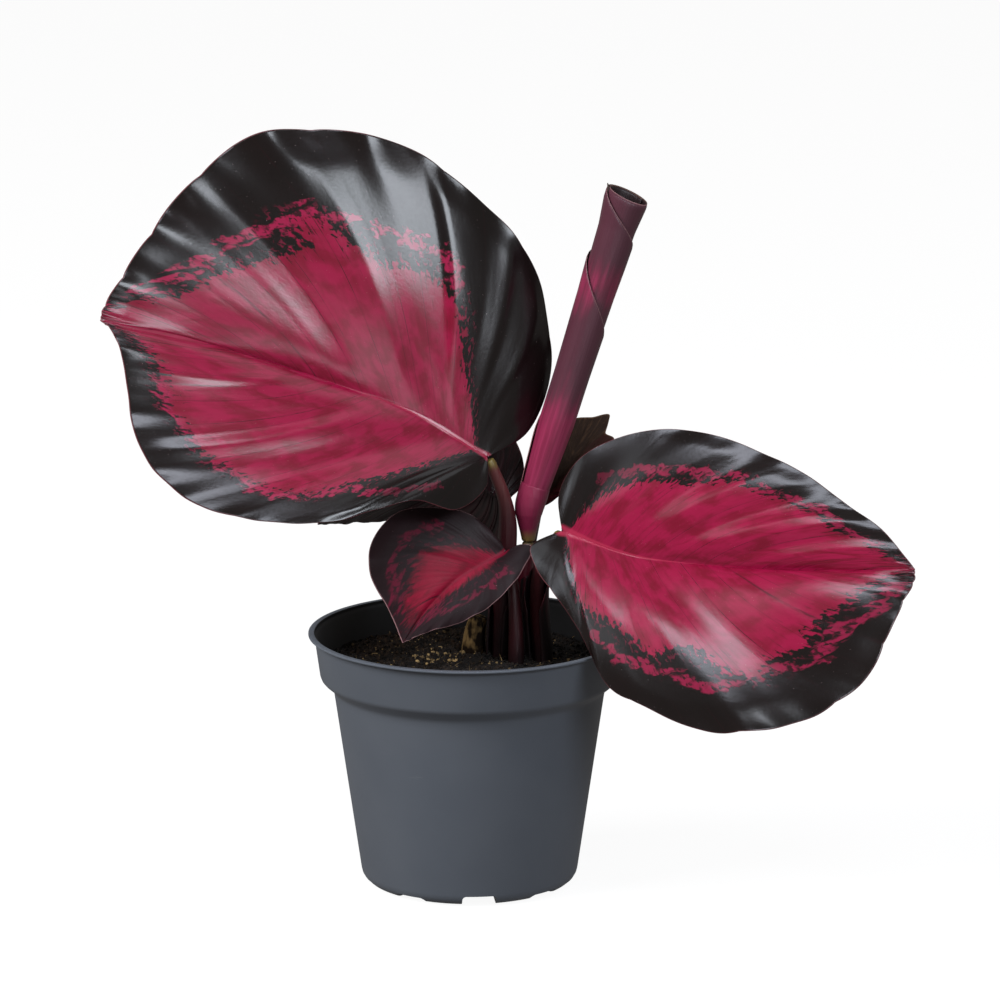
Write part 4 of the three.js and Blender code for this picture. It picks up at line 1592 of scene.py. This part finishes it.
LEFT_LEAF = Blade(
    piece="left_leaf_blade",
    node="left_leaf",
    midrib=(
        (6.5, 0, 161.5), (-19.5, -2, 178), (-47.5, -3, 189), (-76, -5, 199.5),
        (-105.5, -10, 209.5), (-134.5, -16, 216),
    ),
    right=(
        (6.5, 0, 161.5), (21.5, 10, 168.5), (29.5, 19, 184.5), (30, 24, 203), (25.5, 27, 224.5),
        (15.5, 27, 242), (0.5, 25, 256.5), (-17, 23, 271), (-37.5, 22, 278.5), (-58.5, 20, 281.5),
        (-79.5, 15, 279.5), (-98, 9, 267.5), (-112, 2, 252.5), (-123.5, -6, 236.5),
        (-133, -13, 221.5), (-134.5, -16, 216),
    ),
    left=(
        (6.5, 0, 161.5), (6, -8, 151.5), (-5, -18, 145.5), (-19, -26, 151), (-32, -33, 149.5),
        (-45.5, -40, 147), (-60, -45, 146.5), (-74.5, -48, 148.5), (-89, -48, 151),
        (-103, -45, 156.5), (-114.5, -40, 166), (-121.5, -34, 178), (-124, -27, 190.5),
        (-126.5, -22, 204.5), (-130.5, -18, 213), (-134.5, -16, 216),
    ),
    bulge=(3, 4),
    pleats=(7, 1.6),
    ripple=(0.9, 0.3),
    breadth=165,
    blush=(
        ((0.325, 0), (0.33, 0.1), (0.345, 0.26), (0.335, 0.44), (0.35, 0.53), (0.4, 0.56),
         (0.44, 0.55), (0.465, 0.53), (0.48, 0.575), (0.504, 0.6), (0.514, 0.7), (0.548, 0.73),
         (0.558, 0.63), (0.59, 0.63), (0.63, 0.66), (0.675, 0.7), (0.71, 0.725), (0.74, 0.725),
         (0.77, 0.775), (0.81, 0.915), (0.86, 0.98), (0.9, 1.02), (1, 1.02)),
        ((0.33, 0), (0.34, 0.2), (0.35, 0.36), (0.36, 0.51), (0.373, 0.69), (0.42, 0.75), (0.5, 0.77),
         (0.535, 0.81), (0.6, 0.815), (0.635, 0.85), (0.695, 0.82), (0.735, 0.84), (0.842, 0.89),
         (0.95, 0.97), (1, 1.02)),
    ),
    feather=(
        ((0.337, 0.56), (0.341, 0.658), (0.377, 0.653), (0.42, 0.663), (0.455, 0.668), (0.5, 0.7),
         (0.525, 0.744), (0.553, 0.72), (0.6, 0.754), (0.63, 0.764), (0.673, 0.794), (0.705, 0.8),
         (0.747, 0.824), (0.77, 0.87)),
        ((0.142, 0.75), (0.248, 0.655), (0.347, 0.6), (0.4, 0.79), (0.5, 0.79), (0.64, 0.86),
         (0.7, 0.83)),
    ),
    creases=(
        ((0, 0), (0.08, 0), (0.16, 0.3), (0.17, 0.8), (0.225, 0.2), (0.235, 0.7), (0.27, 0.4),
         (0.33, 1.5), (0.345, 0.3), (0.468, 1.9), (0.48, 2.1), (0.595, -0.9), (0.64, -0.4),
         (0.72, -0.6), (0.82, -0.6), (0.95, -0.2), (1, 0)),
        ((0, 0), (0.17, 0), (0.25, 0.9), (0.33, -0.3), (0.5, 0), (0.55, 0.6), (0.575, -0.3), (0.63, 0),
         (0.69, -0.5), (0.708, -0.3), (0.73, -0.6), (0.9, -0.4), (0.95, 0), (1, 0)),
    ),
    scallops=(1.3, 0.0),
)

RIGHT_LEAF = Blade(
    piece="right_leaf_blade",
    node="right_leaf",
    midrib=(
        (34.5, -14, 136.5), (59, -20, 129), (85, -25, 126.5), (111, -31, 126),
        (136.5, -37, 127), (162.5, -42, 129),
    ),
    right=(
        (34.5, -14, 136.5), (23, -16, 131.5), (24.5, -21, 124.5), (30, -28, 117.5),
        (36.5, -35, 110.5), (43.5, -43, 99.5), (51, -53, 87.5), (65, -60, 81), (81.5, -66, 75.5),
        (98.5, -69, 74), (115.5, -67, 77), (132.5, -64, 83), (147, -59, 96.5), (156, -51, 114.5),
        (162, -44, 124), (162.5, -42, 129),
    ),
    left=(
        (34.5, -14, 136.5), (33.5, -7, 150), (42, -3, 162.5), (57.5, 0, 169.5), (75, 0, 172),
        (92.5, -4, 170), (108.5, -10, 165), (124, -17, 158.5), (138, -25, 149.5),
        (150.5, -33, 142), (159, -39, 133), (162.5, -42, 129),
    ),
    bulge=(4, 3),
    pleats=(6, 1.4),
    ripple=(0.6, 0.25),
    breadth=140,
    blush=(
        ((0.215, 0), (0.22, 0.39), (0.25, 0.56), (0.34, 0.5), (0.387, 0.54), (0.41, 0.62),
         (0.46, 0.57), (0.5, 0.565), (0.517, 0.73), (0.553, 0.755), (0.6, 0.69), (0.64, 0.725),
         (0.69, 0.7), (0.737, 0.76), (0.806, 0.79), (0.91, 0.83), (1, 1.0)),
        ((0.24, 0), (0.25, 0.2), (0.263, 0.33), (0.3, 0.43), (0.335, 0.52), (0.36, 0.54), (0.41, 0.56),
         (0.425, 0.63), (0.45, 0.74), (0.503, 0.74), (0.545, 0.79), (0.613, 0.82), (0.683, 0.79),
         (0.717, 0.86), (0.8, 0.9), (0.95, 0.95), (1, 1.0)),
    ),
    feather=(
        ((0.279, 0.7), (0.323, 0.734), (0.365, 0.709), (0.435, 0.734), (0.473, 0.774), (0.507, 0.769),
         (0.575, 0.729), (0.63, 0.819), (0.7, 0.81), (0.723, 0.884), (0.76, 0.905), (0.826, 0.915)),
        ((0.204, 0.508), (0.289, 0.588), (0.339, 0.618), (0.405, 0.709), (0.457, 0.779),
         (0.539, 0.814), (0.589, 0.874), (0.645, 0.849), (0.729, 0.879)),
    ),
    creases=(
        ((0, 0), (0.2, 0), (0.3, 0.2), (0.455, 1.6), (0.475, 1.65), (0.56, 0.9), (0.6, 0.4),
         (0.62, 0.4), (0.68, 1.0), (0.7, 0.7), (0.78, 0.8), (0.95, 0), (1, 0)),
        ((0, 0), (0.2, 0), (0.3, 0.7), (0.36, 0.8), (0.41, 0.1), (0.425, 0), (0.47, 0.9), (0.51, 0.9),
         (0.545, 0.1), (0.56, 0), (0.61, 1.0), (0.65, 1.0), (0.69, 0.1), (0.705, 0), (0.75, 0.8),
         (0.82, 0.6), (0.95, 0), (1, 0)),
    ),
    scallops=(1.2, 0.0),
    finishes=(RIGHT_TOP, LEAF_UNDER),
)

SMALL_LEAF = Blade(
    piece="small_leaf_blade",
    node="small_leaf",
    midrib=((13.5, -6, 126.5), (4, -10, 122.5), (-6, -15, 117), (-16, -20, 107.5), (-24.5, -24, 96.5)),
    right=(
        (13.5, -6, 126.5), (7.5, -5, 132.5), (0.5, -4, 140.5), (-12, -4, 143), (-26, -6, 142),
        (-35.5, -12, 133), (-36.5, -17, 121), (-29, -21, 107), (-24.5, -24, 96.5),
    ),
    left=(
        (13.5, -6, 126.5), (19, -6, 129.5), (23.5, -7, 128.5), (20, -12, 121.5), (11, -17, 111.5),
        (-1.5, -20, 104), (-15, -23, 100.5), (-24.5, -24, 96.5),
    ),
    bulge=(3, 2),
    pleats=(5, 0.5),
    ripple=(0.4, 0.4),
    breadth=52,
    blush=(
        ((0.4, 0), (0.46, 0.18), (0.5, 0.4), (0.56, 0.59), (0.62, 0.56), (0.655, 0.65), (0.7, 0.6),
         (0.73, 0.76), (0.84, 0.68), (0.92, 0.3), (0.95, 0)),
        ((0.45, 0), (0.5, 0.1), (0.6, 0.15), (0.69, 0.18), (0.76, 0.26), (0.85, 0.2), (0.9, 0)),
    ),
    feather=(
        ((0.383, 0.593), (0.451, 0.698), (0.519, 0.769), (0.577, 0.819), (0.625, 0.819),
         (0.673, 0.814), (0.764, 0.849)),
        ((0.391, 0.543), (0.495, 0.538), (0.611, 0.608), (0.707, 0.668), (0.92, 0.2)),
    ),
    creases=(
        ((0, 0), (0.3, 0), (0.5, 0.8), (0.54, 0.1), (0.8, 0.2), (1, 0)),
        (),
    ),
    vein_count=22,
    vein_depth=0.08,
    finishes=(SMALL_TOP, LEAF_UNDER),
    rows=150,
    columns=44,
    rib_depth=0.7,
)

BACK_LEAF = Blade(
    piece="back_leaf_blade",
    node="back_leaf",
    midrib=((13.5, 13, 142), (0, 22, 147.5), (-18.5, 33, 146), (-38.5, 43, 137), (-58, 50, 124)),
    right=(
        (13.5, 13, 142), (14.5, 14, 132.5), (9, 20, 123), (-0.5, 28, 123), (-15, 42, 125.5),
        (-31, 53, 124.5), (-45.5, 54, 123.5), (-58, 50, 124),
    ),
    left=(
        (13.5, 13, 142), (19, 14.5, 146.5), (20.5, 14.5, 154), (17.5, 14, 164), (10.5, 15.5, 173),
        (-5.5, 21, 176.5), (-26, 30, 171), (-44.5, 39, 155.5), (-55, 46, 136.5), (-58, 50, 124),
    ),
    bulge=(3, 3),
    pleats=(5, 0.8),
    ripple=(0.4, 0.4),
    breadth=80,
    blush=(
        ((0.4, 0), (0.45, 0.4), (0.6, 0.6), (0.8, 0.7), (1, 1.0)),
        ((0.4, 0), (0.45, 0.4), (0.6, 0.6), (0.8, 0.7), (1, 1.0)),
    ),
    # Its lower face is the near-black painted-shade copy.
    finishes=(BACK_TOP, SHADED_BACK_UNDER),
    rows=150,
    columns=40,
    vein_count=26,
    vein_depth=0.1,
)

TRIMMED_LEAF = Blade(
    piece="trimmed_leaf_blade",
    node="trimmed_leaf",
    midrib=((25.5, 16, 138.5), (37, 21, 155), (46, 28, 170.5)),
    right=(
        (25.5, 16, 138.5), (30, 15.5, 140.5), (35, 15, 144.5), (45, 16, 151), (54, 22, 162.5),
        (51, 26, 165), (52.5, 30, 171), (46, 28, 170.5),
    ),
    left=(
        (25.5, 16, 138.5), (27, 17.5, 147), (31, 20, 159), (36, 25, 168.5), (40, 26.5, 170.5),
        (46, 28, 170.5),
    ),
    bulge=(1.5, 1.5),
    pleats=(3, 0.4),
    ripple=(0.3, 0.3),
    breadth=30,
    finishes=(OLD_LEAF, OLD_LEAF),
    slot="old_leaf",
    rows=110,
    columns=36,
    rib_depth=0.6,
)

STALKS = (
    Stalk("left_stalk_skin", "left_stalk",
          ((11.5, 5, 76), (11.5, 5, 88), (12.5, 4.5, 105), (13.5, 4, 121), (14.3, 3.2, 135),
           (12.8, 2, 146), (7.4, 0.4, 160.2)),
          (3, 3, 3.7, 3.9, 3.4, 2.5, 2.1)),
    Stalk("right_stalk_skin", "right_stalk",
          ((26.5, -1, 76), (26.5, -1, 88), (25.5, -3, 102), (25.5, -6, 115), (27.5, -9, 125.5),
           (33.6, -13.2, 135.6)),
          (3, 3, 3, 2.7, 2.3, 1.9)),
    Stalk("small_stalk_skin", "small_stalk",
          ((17.5, -5.5, 76), (17.5, -5.5, 88), (17, -4.5, 104), (16, -3, 116), (14.2, -4.6, 125)),
          (3, 3, 2.4, 2, 1.6)),
    Stalk("back_stalk_skin", "back_stalk",
          ((13, 13.5, 76), (13, 13.5, 88), (13.5, 13, 105), (13.8, 12.5, 123), (13.6, 12.8, 140.4)),
          (3, 3, 2.9, 2.4, 2.1)),
    Stalk("trimmed_stalk_skin", "trimmed_stalk",
          ((22, 12.5, 76), (22, 12.5, 88), (21.8, 13.5, 104), (22, 14.8, 120), (25.2, 16, 137.4)),
          (3, 3, 2.9, 2.4, 2)),
    Stalk("rolled_stalk_skin", "rolled_stalk",
          ((19, 3.5, 76), (19, 3.5, 88), (19.8, 4, 104), (21.1, 4.6, 118), (22, 5, 128)),
          (3, 3, 3.1, 2.8, 2.2), ROLL_STALK),
    Stalk("crown_stub_bark", "crown_stub",
          ((1.5, 9.5, 76), (1.5, 9.5, 86), (2.2, 9.3, 93), (3.6, 8.8, 98.5)),
          (4.4, 4.4, 3.9, 3.2), STUB, "dry_stub"),
)

SHEATHS = (
    Sheath("left_stalk_sheath", "left_stalk", STALKS[0].path, (4.3, 4.6), (80, 119), 70, 60),
    Sheath("rolled_stalk_sheath", "rolled_stalk", STALKS[5].path, (4.4, 3.7), (80, 116), 60, -80),
    Sheath("right_stalk_sheath", "right_stalk", STALKS[1].path, (4.6, 4.2), (80, 124), 50, 70),
    Sheath("trimmed_stalk_sheath", "trimmed_stalk", STALKS[4].path, (8.0, 7.2), (80, 127), 90, -30),
)


def main() -> None:
    """Build the studio and the plant, piece by piece."""
    logging.basicConfig(level=logging.INFO, format="%(name)s: %(message)s")
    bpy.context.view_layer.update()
    studio = Studio()
    studio.place_camera()
    NurseryPot().build()
    PottingSoil().build()
    for blade in (LEFT_LEAF, RIGHT_LEAF, SMALL_LEAF, BACK_LEAF, TRIMMED_LEAF):
        blade.build()
    RolledLeaf().build()
    for stalk in STALKS:
        stalk.build()
    for sheath in SHEATHS:
        sheath.build()
    studio.build()


if __name__ == "__main__":
    main()
